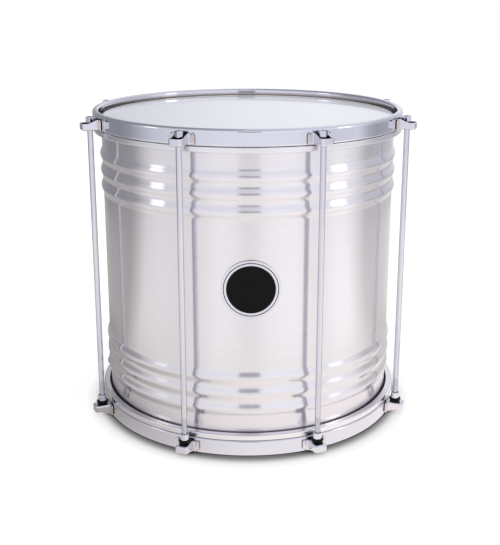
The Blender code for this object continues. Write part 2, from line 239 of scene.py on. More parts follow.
@dataclass(frozen=True)
class BrushedAluminium:
    """Aluminium sheet, brushed round the shell with a belt.

    Fine level lines pull every highlight out into an upright band.
    """

    name: str = "brushed_aluminium_sheet"
    slot: str = "brushed_aluminium"
    bright: str = "#EFEBEF"
    dull: str = "#E3DEE2"
    line_spacing: float = 0.8 * MM  # belt lines are finer, but these are as fine as the picture shows
    line_length: float = 90 * MM
    line_depth: float = 0.006 * MM

    def make(self) -> bpy.types.Material:
        """Build the material: belt lines in colour, roughness and height."""
        constants = {"Metallic": 1.0, "Anisotropic": 0.95, "Anisotropic Rotation": 0.25}
        material, shader = surface(self.name, constants)
        tree = material.node_tree
        lines = level_lines(tree, self.line_spacing, self.line_length)
        round_axis = add_node(tree, "ShaderNodeTangent", {"direction_type": "RADIAL", "axis": "Z"})
        tree.links.new(mixed(tree, lines, self.dull, self.bright), shader.inputs["Base Color"])
        tree.links.new(between(tree, lines, 0.18, 0.23), shader.inputs["Roughness"])
        tree.links.new(dented(tree, lines, self.line_depth), shader.inputs["Normal"])
        tree.links.new(round_axis.outputs[0], shader.inputs["Tangent"])
        return material


@dataclass(frozen=True)
class ChromedSteel:
    """Bright chrome on rolled steel: a near mirror with faint haze and a slight waviness.

    A piece's tint attribute says where the plate takes another colour, as on a hoop's inside, which the bath
    reaches badly, so that it is dull and brownish. Its pocket attribute says where the plate is painted near-black:
    a painted shade in the ears' pockets and on the band behind them, and the dark of spot-weld marks.
    """

    name: str = "chromed_steel_bright"
    slot: str = "chromed_steel"
    plate: str = "#DEDDE7"
    tint: str = "#CFC6C1"
    # near-black: a painted shade in the ears' pockets and on the band behind them, and the dark of spot-weld marks
    pocket_shade_and_weld_mark: str = "#161313"
    haze: Point = (0.05, 0.09)
    haze_size: float = 22 * MM
    patch_levels: Point = (0.85, 1.0)
    patch_size: float = 30 * MM
    wave_size: float = 14 * MM
    wave_depth: float = 0.012 * MM
    edge_tint: str = "#FFFFFF"

    def make(self) -> bpy.types.Material:
        """Build the material: plate, tinted in patches, and near-black where the piece's attributes say so, a painted
        shade in the pockets and dark weld marks.
        """
        material, shader = surface(self.name, {"Metallic": 1.0, "Specular Tint": linear(self.edge_tint)})
        tree = material.node_tree
        pocket, tint = (
            add_node(tree, "ShaderNodeAttribute", {"attribute_name": name}).outputs["Fac"] for name in ("pocket", "tint")
        )
        patches = between(tree, blotches(tree, self.patch_size), *self.patch_levels)
        share = add_node(tree, "ShaderNodeMath", {"operation": "MULTIPLY"}, {0: tint, 1: patches}).outputs[0]
        plate = mixed(tree, share, self.plate, self.tint)
        haze = between(tree, blotches(tree, self.haze_size), *self.haze)
        dulled = add_node(tree, "ShaderNodeMath", {"operation": "MULTIPLY_ADD"}, {0: pocket, 1: 0.25, 2: haze})
        waves = dented(tree, blotches(tree, self.wave_size, 1.0), self.wave_depth)
        # Where the pocket attribute says so, the plate gives way to near-black: painted shade, and on the weld marks
        # their own dark.
        tree.links.new(mixed(tree, pocket, plate, self.pocket_shade_and_weld_mark), shader.inputs["Base Color"])
        tree.links.new(dulled.outputs[0], shader.inputs["Roughness"])
        tree.links.new(waves, shader.inputs["Normal"])
        return material


@dataclass(frozen=True)
class PressedChrome(ChromedSteel):
    """Chrome on pressed and welded sheet: hazier than on the hoops, with straw heat tints near the welds."""

    name: str = "chromed_steel_pressed"
    tint: str = "#E8D0B4"
    haze: Point = (0.11, 0.18)
    haze_size: float = 6 * MM
    patch_levels: Point = (0.15, 1.0)
    patch_size: float = 38 * MM
    wave_size: float = 5 * MM
    wave_depth: float = 0.02 * MM


@dataclass(frozen=True)
class PlatedRod(ChromedSteel):
    """Thin bright plate on drawn rod: a little greyer and hazier than the hoops, most of all at a low angle."""

    name: str = "bright_plated_rod"
    plate: str = "#DAD9E3"
    haze: Point = (0.07, 0.11)
    haze_size: float = 9 * MM
    edge_tint: str = "#9C9CA6"


@dataclass(frozen=True)
class DrawnAluminium:
    """Aluminium drawn through a die and bent to a hoop: soft shine with faint long die lines."""

    name: str = "drawn_aluminium_hoop"
    slot: str = "drawn_aluminium"
    bright: str = "#F2EEF2"
    dull: str = "#E6E2E6"
    line_spacing: float = 0.7 * MM
    line_length: float = 160 * MM
    line_depth: float = 0.004 * MM

    def make(self) -> bpy.types.Material:
        """Build the material: die lines in colour, roughness and height."""
        material, shader = surface(self.name, {"Metallic": 1.0})
        tree = material.node_tree
        lines = level_lines(tree, self.line_spacing, self.line_length)
        tree.links.new(mixed(tree, lines, self.dull, self.bright), shader.inputs["Base Color"])
        tree.links.new(between(tree, lines, 0.22, 0.29), shader.inputs["Roughness"])
        tree.links.new(dented(tree, lines, self.line_depth), shader.inputs["Normal"])
        return material


@dataclass(frozen=True)
class WhiteFilm:
    """White polyester film, stretched: smooth and glossy enough to mirror the rim at a low angle."""

    name: str = "white_polyester_film"
    slot: str = "white_film"
    white: str = "#F6F6FE"
    shade: str = "#F1F1FA"
    cloud_size: float = 45 * MM
    ripple_depth: float = 0.004 * MM

    def make(self) -> bpy.types.Material:
        """Build the material: faint clouds in the white and a nearly flat ripple."""
        material, shader = surface(self.name, {"IOR": 1.45})
        tree = material.node_tree
        clouds = blotches(tree, self.cloud_size)
        tree.links.new(mixed(tree, clouds, self.shade, self.white), shader.inputs["Base Color"])
        tree.links.new(between(tree, clouds, 0.07, 0.11), shader.inputs["Roughness"])
        tree.links.new(dented(tree, clouds, self.ripple_depth), shader.inputs["Normal"])
        return material


@dataclass(frozen=True)
class BlackNylon:
    """Moulded black nylon: a soft sheen over a fine mould grain."""

    name: str = "moulded_black_nylon"
    slot: str = "black_nylon"
    dark: str = "#050506"
    light: str = "#0C0C0E"
    grain_size: float = 0.6 * MM
    grain_depth: float = 0.01 * MM

    def make(self) -> bpy.types.Material:
        """Build the material: grain in colour, roughness and height."""
        material, shader = surface(self.name, {"IOR": 1.53, "Specular IOR Level": 0.12})
        tree = material.node_tree
        grain = blotches(tree, self.grain_size)
        tree.links.new(mixed(tree, grain, self.dark, self.light), shader.inputs["Base Color"])
        tree.links.new(between(tree, grain, 0.18, 0.28), shader.inputs["Roughness"])
        tree.links.new(dented(tree, grain, self.grain_depth), shader.inputs["Normal"])
        return material


@dataclass(frozen=True)
class BlackEnamel:
    """Black stoved enamel, worn to a weak sheen, with slow flow marks in it."""

    name: str = "stoved_black_enamel"
    slot: str = "black_enamel"
    dark: str = "#060607"
    light: str = "#111113"
    flow_size: float = 9 * MM
    flow_depth: float = 0.01 * MM

    def make(self) -> bpy.types.Material:
        """Build the material: slow flow marks under a weak sheen."""
        material, shader = surface(self.name, {"IOR": 1.5, "Specular IOR Level": 0.12})
        tree = material.node_tree
        flow = blotches(tree, self.flow_size)
        tree.links.new(mixed(tree, flow, self.dark, self.light), shader.inputs["Base Color"])
        tree.links.new(between(tree, flow, 0.24, 0.32), shader.inputs["Roughness"])
        tree.links.new(dented(tree, flow, self.flow_depth), shader.inputs["Normal"])
        return material


def material_of(finish: Finish) -> bpy.types.Material:
    """The material of a finish, made on first use."""
    return bpy.data.materials.get(finish.name) or finish.make()


# Shapes


def filleted(corners: Sequence[Corner], steps: int = 5) -> list[Point]:
    """Round the corners of a closed outline.

    Args:
        corners: the place and the rounding radius of each corner, in order.
        steps: facets of one rounding.

    Returns:
        The points of the rounded outline.
    """
    points: list[Point] = []
    for k, (x, y, radius) in enumerate(corners):
        if radius == 0:
            points.append((x, y))
            continue
        here = Vector((x, y))
        sides = [(Vector(corners[j % len(corners)][:2]) - here).normalized() for j in (k - 1, k + 1)]
        half = sides[0].angle(sides[1]) / 2
        centre = here + (sides[0] + sides[1]).normalized() * (radius / math.sin(half))
        ends = [here + side * (radius / math.tan(half)) - centre for side in sides]
        start, stop = (math.atan2(end.y, end.x) for end in ends)
        sweep = (stop - start + math.pi) % math.tau - math.pi
        for step in range(steps + 1):
            angle = start + sweep * step / steps
            points.append((centre.x + radius * math.cos(angle), centre.y + radius * math.sin(angle)))
    return points


def arc(centre: Point, radius: float, start: float, stop: float, steps: int) -> list[Point]:
    """Points along an arc.

    Args:
        centre: the arc's centre.
        radius: its radius.
        start: angle of its first point, in degrees.
        stop: angle of its last point, in degrees.
        steps: its facets.

    Returns:
        The points, both ends included.
    """
    angles = [math.radians(start + (stop - start) * k / steps) for k in range(steps + 1)]
    return [(centre[0] + radius * math.cos(a), centre[1] + radius * math.sin(a)) for a in angles]


def turned(outline: Sequence[Point], segments: int) -> bmesh.types.BMesh:
    """Turn an outline about the Z axis.

    Args:
        outline: (radius, height) points; one that starts on the axis also ends there.
        segments: facets round the axis.

    Returns:
        The turned shape, welded.
    """
    shape = bmesh.new()
    points = [shape.verts.new((0, -radius, height)) for radius, height in outline]
    edges = [shape.edges.new(pair) for pair in zip(points, points[1:])]
    if outline[0][0] > 0:
        edges.append(shape.edges.new((points[-1], points[0])))
    bmesh.ops.spin(
        shape,
        geom=points + edges,
        axis=(0, 0, 1),
        cent=(0, 0, 0),
        angle=math.tau,
        steps=segments,
        use_merge=True,
    )
    bmesh.ops.remove_doubles(shape, verts=shape.verts, dist=WELD_DISTANCE)
    return shape


def lofted(sections: Sequence[Sequence[Vector]], ring: bool) -> bmesh.types.BMesh:
    """Join closed sections, one after another.

    Args:
        sections: the points of each section, as many in each.
        ring: whether the last section joins the first; otherwise both ends are closed with a face.

    Returns:
        The joined shape.
    """
    shape = bmesh.new()
    loops = [[shape.verts.new(point) for point in section] for section in sections]
    pairs = list(zip(loops, loops[1:]))
    if ring:
        pairs.append((loops[-1], loops[0]))
    else:
        shape.faces.new(loops[0])
        shape.faces.new(loops[-1])
    count = len(loops[0])
    for lower, upper in pairs:
        for k in range(count):
            after = (k + 1) % count
            shape.faces.new((lower[k], lower[after], upper[after], upper[k]))
    return shape


def round_section(radius: float, height: float, count: int = 32) -> list[Vector]:
    """A level circle about the Z axis."""
    angles = [math.tau * (k + 0.5) / count for k in range(count)]
    return [Vector((radius * math.cos(a), radius * math.sin(a), height)) for a in angles]


def square_section(half_width: float, rounding: float, height: float, count: int = 32) -> list[Vector]:
    """A level square about the Z axis with rounded corners, its points in step with a circle's."""
    inner = half_width - rounding
    points = []
    for k in range(count):
        angle = math.tau * (k + 0.5) / count
        across, along = math.cos(angle), math.sin(angle)
        x = math.copysign(inner, across) + rounding * across
        y = math.copysign(inner, along) + rounding * along
        points.append(Vector((x, y, height)))
    return points


def ramp(value: float, low: float, high: float) -> float:
    """How far a value is from low, 0, to high, 1."""
    return min(max((value - low) / (high - low), 0.0), 1.0)


def to_mesh(name: str, shape: bmesh.types.BMesh) -> bpy.types.Mesh:
    """Turn a shape into a mesh with outward faces and smooth round sides."""
    bmesh.ops.recalc_face_normals(shape, faces=shape.faces)
    mesh = bpy.data.meshes.new(name)
    shape.to_mesh(mesh)
    shape.free()
    mesh.shade_smooth()
    mesh.set_sharp_from_angle(angle=SHARP_ANGLE)
    return mesh


def add_shape(target: bmesh.types.BMesh, other: bmesh.types.BMesh, place: Matrix | None = None) -> None:
    """Put a second closed shape into the same mesh, at a place."""
    bmesh.ops.recalc_face_normals(other, faces=other.faces)
    bmesh.ops.transform(other, matrix=place or Matrix(), verts=other.verts)
    passing = bpy.data.meshes.new("passing")
    other.to_mesh(passing)
    other.free()
    target.from_mesh(passing)
    bpy.data.meshes.remove(passing)


# Geometry Nodes


def new_tree(name: str, sockets: dict[str, str]) -> tuple[bpy.types.NodeTree, bpy.types.Node]:
    """Start a Geometry Nodes tree that takes and gives geometry.

    Args:
        name: the tree's name.
        sockets: the kind of each named input after the geometry.

    Returns:
        The tree and its input node.
    """
    tree = bpy.data.node_groups.new(name, "GeometryNodeTree")
    tree.interface.new_socket("Geometry", in_out="OUTPUT", socket_type="NodeSocketGeometry")
    for label, kind in {"Geometry": "Geometry", **sockets, "Finish": "Material"}.items():
        tree.interface.new_socket(label, in_out="INPUT", socket_type=f"NodeSocket{kind}")
    return tree, add_node(tree, "NodeGroupInput")


def end_tree(tree: bpy.types.NodeTree, given: bpy.types.Node, geometry: bpy.types.NodeSocket) -> None:
    """End a tree: make instances real, give them the finish and pass them on."""
    real = add_node(tree, "GeometryNodeRealizeInstances", inputs={"Geometry": geometry})
    dressed = {"Geometry": real.outputs[0], "Material": given.outputs["Finish"]}
    painted = add_node(tree, "GeometryNodeSetMaterial", inputs=dressed)
    add_node(tree, "NodeGroupOutput", inputs={"Geometry": painted.outputs[0]})


def ring_tree() -> bpy.types.NodeTree:
    """Copies of one piece at equal turns about the drum's axis."""
    tree, given = new_tree("copies_round_the_drum", {"Count": "Int", "First Turn": "Float"})
    points = add_node(
        tree,
        "GeometryNodeMeshLine",
        inputs={"Count": given.outputs["Count"], "Offset": (0.0, 0.0, 0.0)},
    )
    step = add_node(tree, "ShaderNodeMath", {"operation": "DIVIDE"}, {0: math.tau, 1: given.outputs["Count"]})
    index = add_node(tree, "GeometryNodeInputIndex")
    turn = add_node(
        tree,
        "ShaderNodeMath",
        {"operation": "MULTIPLY_ADD"},
        {0: index.outputs[0], 1: step.outputs[0], 2: given.outputs["First Turn"]},
    )
    angles = add_node(tree, "ShaderNodeCombineXYZ", inputs={"Z": turn.outputs[0]})
    rotation = add_node(tree, "FunctionNodeEulerToRotation", inputs={0: angles.outputs[0]})
    copies = add_node(
        tree,
        "GeometryNodeInstanceOnPoints",
        inputs={
            "Points": points.outputs[0],
            "Instance": given.outputs["Geometry"],
            "Rotation": rotation.outputs[0],
        },
    )
    end_tree(tree, given, copies.outputs[0])
    return tree


def bead_tree() -> bpy.types.NodeTree:
    """Beads rolled into a plain tube near both of its ends: soft waves with valleys as round as their crests."""
    sizes = ("Height", "First Valley", "Pitch", "Last Bead", "Bead Height")
    tree, given = new_tree("rolled_beads", {label: "Float" for label in sizes})

    def maths(operation: str, *values: Any) -> bpy.types.NodeSocket:
        """The result of one sum."""
        return add_node(tree, "ShaderNodeMath", {"operation": operation}, dict(enumerate(values))).outputs[0]

    size = given.outputs
    place = add_node(tree, "GeometryNodeInputPosition").outputs[0]
    parts = add_node(tree, "ShaderNodeSeparateXYZ", inputs={0: place}).outputs
    depth = maths("MINIMUM", parts["Z"], maths("SUBTRACT", size["Height"], parts["Z"]))
    along = maths("SUBTRACT", depth, size["First Valley"])
    bead = maths("FLOOR", maths("DIVIDE", along, size["Pitch"]))
    bead = maths("MINIMUM", maths("MAXIMUM", bead, 0.0), size["Last Bead"])
    crest = maths("MULTIPLY", maths("ADD", bead, 0.5), size["Pitch"])
    off_crest = maths("SUBTRACT", along, crest)
    reach = maths("MINIMUM", maths("DIVIDE", maths("ABSOLUTE", off_crest), size["Pitch"]), 0.5)
    wave = maths("ADD", maths("COSINE", maths("MULTIPLY", reach, math.tau)), 1.0)
    swell = maths("MULTIPLY", wave, maths("MULTIPLY", size["Bead Height"], 0.5))
    level = add_node(tree, "ShaderNodeCombineXYZ", inputs={"X": parts["X"], "Y": parts["Y"]})
    outwards = add_node(tree, "ShaderNodeVectorMath", {"operation": "NORMALIZE"}, {0: level.outputs[0]})
    shift = add_node(
        tree, "ShaderNodeVectorMath", {"operation": "SCALE"}, {0: outwards.outputs[0], "Scale": swell}
    )
    rolled = add_node(
        tree,
        "GeometryNodeSetPosition",
        inputs={"Geometry": given.outputs["Geometry"], "Offset": shift.outputs[0]},
    )
    end_tree(tree, given, rolled.outputs[0])
    return tree


def thread_tree() -> bpy.types.NodeTree:
    """A rolled thread: a ridge that winds up a rod's core."""
    sizes = {"Foot": "Float", "Length": "Float", "Turns": "Float", "Core": "Float", "Ridge": "Float"}
    tree, given = new_tree("rolled_thread", {**sizes, "Steps": "Int"})
    winding = {
        "Resolution": given.outputs["Steps"],
        "Rotations": given.outputs["Turns"],
        "Start Radius": given.outputs["Core"],
        "End Radius": given.outputs["Core"],
        "Height": given.outputs["Length"],
    }
    spiral = add_node(tree, "GeometryNodeCurveSpiral", inputs=winding)
    upright = add_node(
        tree, "GeometryNodeSetCurveNormal", {"mode": "Z_UP"}, {"Curve": spiral.outputs[0]}
    )
    section = add_node(
        tree,
        "GeometryNodeCurvePrimitiveCircle",
        {"mode": "RADIUS"},
        {"Resolution": 4, "Radius": given.outputs["Ridge"]},
    )
    ridge = add_node(
        tree,
        "GeometryNodeCurveToMesh",
        inputs={"Curve": upright.outputs[0], "Profile Curve": section.outputs[0], "Fill Caps": True},
    )
    foot = add_node(tree, "ShaderNodeCombineXYZ", inputs={"Z": given.outputs["Foot"]})
    lifted = add_node(
        tree,
        "GeometryNodeTransform",
        inputs={"Geometry": ridge.outputs[0], "Translation": foot.outputs[0]},
    )
    joined = add_node(
        tree,
        "GeometryNodeJoinGeometry",
        inputs={"Geometry": [given.outputs["Geometry"], lifted.outputs[0]]},
    )
    end_tree(tree, given, joined.outputs[0])
    return tree


def applied(mesh: bpy.types.Mesh, kind: str, set_up: Callable[[bpy.types.Modifier], None]) -> bpy.types.Mesh:
    """Run a modifier over a mesh and keep the result as a plain mesh.

    Args:
        mesh: what goes in.
        kind: Blender's name for the kind of modifier.
        set_up: sets the modifier's values.

    Returns:
        The plain mesh.
    """
    carrier = bpy.data.objects.new("carrier", mesh)
    bpy.context.collection.objects.link(carrier)
    modifier = carrier.modifiers.new("passing", kind)
    set_up(modifier)
    carrier.update_tag()
    graph = bpy.context.evaluated_depsgraph_get()
    plain = bpy.data.meshes.new_from_object(carrier.evaluated_get(graph), depsgraph=graph)
    carrier.modifiers.remove(modifier)
    bpy.data.objects.remove(carrier, do_unlink=True)
    return plain


def shaded_flat(modifier: bpy.types.Modifier) -> None:
    """Let wide faces keep their own normals, so that flats look flat up to their rounded edges."""
    modifier.keep_sharp = True
    modifier.weight = 90


def grown(mesh: bpy.types.Mesh, tree: bpy.types.NodeTree, finish: Finish, values: dict[str, Any]) -> bpy.types.Mesh:
    """Run a tree over a mesh and keep the result as a plain mesh.

    Args:
        mesh: what goes in.
        tree: the tree.
        finish: the finish that the tree gives to it all.
        values: the tree's other inputs, by name.

    Returns:
        The plain mesh.
    """

    def set_up(modifier: bpy.types.Modifier) -> None:
        """Give the modifier its tree and the tree's inputs."""
        modifier.node_group = tree
        sockets = [item for item in tree.interface.items_tree if item.item_type == "SOCKET"]
        places = {item.name: item.identifier for item in sockets if item.in_out == "INPUT"}
        for label, value in {**values, "Finish": material_of(finish)}.items():
            modifier[places[label]] = value

    return applied(mesh, "NODES", set_up)


def fit(name: str, mesh: bpy.types.Mesh, finish: Finish, body: str, nodes: Sequence[str]) -> bpy.types.Object:
    """Dress a piece, let it ride on a body and let it stand for its solids.

    Args:
        name: the piece's name.
        mesh: its mesh, already in place.
        finish: its finish.
        body: the body that it rides on.
        nodes: the solids that it stands for.

    Returns:
        The piece.
    """
    mesh = applied(mesh, "WEIGHTED_NORMAL", shaded_flat)
    piece = bpy.data.objects.new(name, mesh)
    bpy.context.collection.objects.link(piece)
    mesh.materials.clear()
    mesh.materials.append(material_of(finish))
    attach(piece, body)
    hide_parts(*nodes)
    LOG.info("%s: %d faces in %s, rides on %s", name, len(mesh.polygons), finish.name, body)
    return piece


def numbered(stem: str) -> list[str]:
    """The names of the eight solids of one kind."""
    return [f"{stem}_{number}" for number in range(1, SIZES.rod_count + 1)]


# Sub-assemblies


@dataclass
class Shell:
    """The beaded aluminium tube, its ends turned inwards as bearing edges."""

    finish: Finish
    wall: float = 1.2 * MM
    flange: float = 3.0 * MM
    bead_count: int = 3
    bead_pitch: float = 16.4 * MM
    bead_height: float = 2.2 * MM
    bead_inset: float = 29.2 * MM
    facets_per_bead: int = 20
    edge_facets: int = 8
    segments: int = 240

    @property
    def first_valley(self) -> float:
        """Depth at which the beads start."""
        return SIZES.shell_end + self.bead_inset

    def face(self, inset: float) -> list[Point]:
        """(radius, height) points of one face of the sheet, still without beads, from top to bottom."""
        centre = (SIZES.shell_radius - SIZES.edge_round, SIZES.shell_end + SIZES.edge_round)
        radius = SIZES.edge_round - inset
        half = [(centre[0] - self.flange, SIZES.shell_end + inset)]
        half += arc(centre, radius, -90, 0, self.edge_facets)
        levels = self.bead_count * self.facets_per_bead
        spacing = self.bead_pitch / self.facets_per_bead
        half += [(SIZES.shell_radius - inset, self.first_valley + k * spacing) for k in range(-2, levels + 3)]
        top = [(radius, End.TOP.height(depth)) for radius, depth in half]
        bottom = [(radius, End.BOTTOM.height(depth)) for radius, depth in half]
        return top + bottom[::-1]

    def build(self) -> None:
        """Turn the plain tube, roll its beads and put it in place."""
        tube = to_mesh("tube", turned(self.face(0) + self.face(self.wall)[::-1], self.segments))
        values = {
            "Height": SIZES.total_height,
            "First Valley": self.first_valley,
            "Pitch": self.bead_pitch,
            "Last Bead": float(self.bead_count - 1),
            "Bead Height": self.bead_height,
        }
        fit("beaded_shell", grown(tube, bead_tree(), self.finish, values), self.finish, DRUM, ["shell"])


@dataclass
class Head:
    """A head: film over the bearing edge, its skirt in the channel of a drawn flesh hoop."""

    end: End
    film_finish: Finish
    hoop_finish: Finish
    thickness: float = 0.5 * MM
    clearance: float = 0.3 * MM
    hem_clearance: float = 0.5 * MM
    edge_facets: int = 8
    segments: int = 240

    def film(self) -> list[Point]:
        """(radius, depth) points of the film: over the edge, down into the channel and back inside."""
        skirt = (SIZES.channel_inner + SIZES.channel_outer - self.thickness) / 2
        hem = SIZES.channel_bottom - self.hem_clearance
        centre = (SIZES.shell_radius - SIZES.edge_round, SIZES.shell_end + SIZES.edge_round)
        faces = []
        for lift in (self.clearance + self.thickness, self.clearance):
            radius = skirt + lift - self.clearance
            rim = [(0.0, SIZES.shell_end - lift)] + arc(centre, SIZES.edge_round + lift, -90, 0, self.edge_facets)
            faces.append(rim + [(radius, SIZES.flesh_top), (radius, hem)])
        return faces[0] + faces[1][::-1]

    def flesh_hoop(self) -> list[Point]:
        """(radius, depth) points of the flesh hoop: a channel, its outer corners rounded by the die."""
        top, foot = SIZES.flesh_top, SIZES.flesh_foot
        fine, wide = 0.3 * MM, 1.3 * MM
        return filleted(
            [
                (SIZES.flesh_inner, top, fine),
                (SIZES.channel_inner, top, fine),
                (SIZES.channel_inner, SIZES.channel_bottom, 0),
                (SIZES.channel_outer, SIZES.channel_bottom, 0),
                (SIZES.channel_outer, top, fine),
                (SIZES.flesh_outer, top, 0.8 * MM),
                (SIZES.flesh_outer, foot, wide),
                (SIZES.flesh_inner, foot, 0.6 * MM),
            ]
        )

    def build(self) -> None:
        """Turn the film and the flesh hoop and put them in place."""
        pieces = {
            "head_film": (self.film(), self.film_finish),
            "flesh_hoop": (self.flesh_hoop(), self.hoop_finish),
        }
        for kind, (outline, finish) in pieces.items():
            placed = [(radius, self.end.height(depth)) for radius, depth in outline]
            name = f"{self.end.value}_{kind}"
            fit(f"{name}_turned", to_mesh(name, turned(placed, self.segments)), finish, DRUM, [name])


@dataclass
class CounterHoop:
    """A pressed steel hoop: band, crest rolled inwards and down, and a flange that presses on the flesh hoop."""

    end: End
    finish: Finish
    wall: float = 1.8 * MM
    rim_width: float = 6.5 * MM
    rim_drop: float = 4.6 * MM
    rim_sheet: float = 1.4 * MM
    crest_round: float = 3.0 * MM
    crest_inner_round: float = 2.8 * MM
    foot_bend: float = 1.8 * MM
    flange: float = 1.5 * MM
    # Where the band inside each ear gets painted shade: its sideways reach from a rod, its depths from the crest, and
    # its fade at the ear's floor.
    shade_width: Point = (4.2 * MM, 6.3 * MM)
    shade_top: Point = (3.9 * MM, 4.9 * MM)
    shade_foot: float = 0.7 * MM
    segments: int = 480

    @property
    def pocket_floor(self) -> float:
        """Depth of the floor of this end's ears."""
        return self.end.ear_base - SIZES.sheet

    def outline(self) -> list[Point]:
        """(radius, depth) points of the hoop's section."""
        outer = SIZES.hoop_outer
        rim_inner = outer - self.rim_width
        roll_inner = rim_inner + self.rim_sheet
        band_inner = outer - self.wall
        flange_end = band_inner - self.flange
        flange_top = SIZES.hoop_height - self.wall
        edge = 0.4 * MM
        return filleted(
            [
                (outer, 0, self.crest_round),
                (rim_inner, 0, self.crest_inner_round),
                (rim_inner, self.rim_drop, edge),
                (roll_inner, self.rim_drop, edge),
                (roll_inner, self.rim_sheet, 1.2 * MM),
                (band_inner, self.rim_sheet, 1.2 * MM),
                (band_inner, flange_top, edge),
                (flange_end, flange_top, edge),
                (flange_end, SIZES.hoop_height, edge),
                (outer, SIZES.hoop_height, self.foot_bend),
                (outer, self.pocket_floor, 0),
                (outer, self.pocket_floor - self.shade_foot, 0),
            ],
            steps=8,
        )

    def mark(self, shape: bmesh.types.BMesh) -> None:
        """Say where shade is painted, on the band inside each ear, and where the plate is dull, on the hoop's inside.
        """
        pocket, tint = (shape.verts.layers.float.new(name) for name in ("pocket", "tint"))
        spacing = math.tau / SIZES.rod_count
        inside = (SIZES.hoop_outer - self.rim_width + 0.5 * MM, SIZES.hoop_outer - self.wall + 0.3 * MM)
        for vertex in shape.verts:
            radius, depth = vertex.co.xy.length, self.end.height(vertex.co.z)
            turn = math.atan2(vertex.co.x, -vertex.co.y)
            off_rod = abs((turn / spacing) % 1 - 0.5) * spacing * radius
            in_ear = 1 - ramp(off_rod, *self.shade_width)
            along = ramp(depth, *self.shade_top) - ramp(depth, self.pocket_floor - self.shade_foot, self.pocket_floor)
            on_band = radius > inside[1]
            # Painted shade on the band inside each ear.
            vertex[pocket] = in_ear * along if on_band else 0.0
            vertex[tint] = 1.0 if inside[0] < radius < inside[1] and depth > self.rim_sheet / 2 else 0.0

    def build(self) -> None:
        """Turn the hoop and put it in place."""
        placed = [(radius, self.end.height(depth)) for radius, depth in self.outline()]
        shape = turned(placed, self.segments)
        self.mark(shape)
        mesh = to_mesh("hoop", shape)
        fit(f"{self.end.value}_counter_hoop", mesh, self.finish, DRUM, [f"{self.end.value}_hoop"])


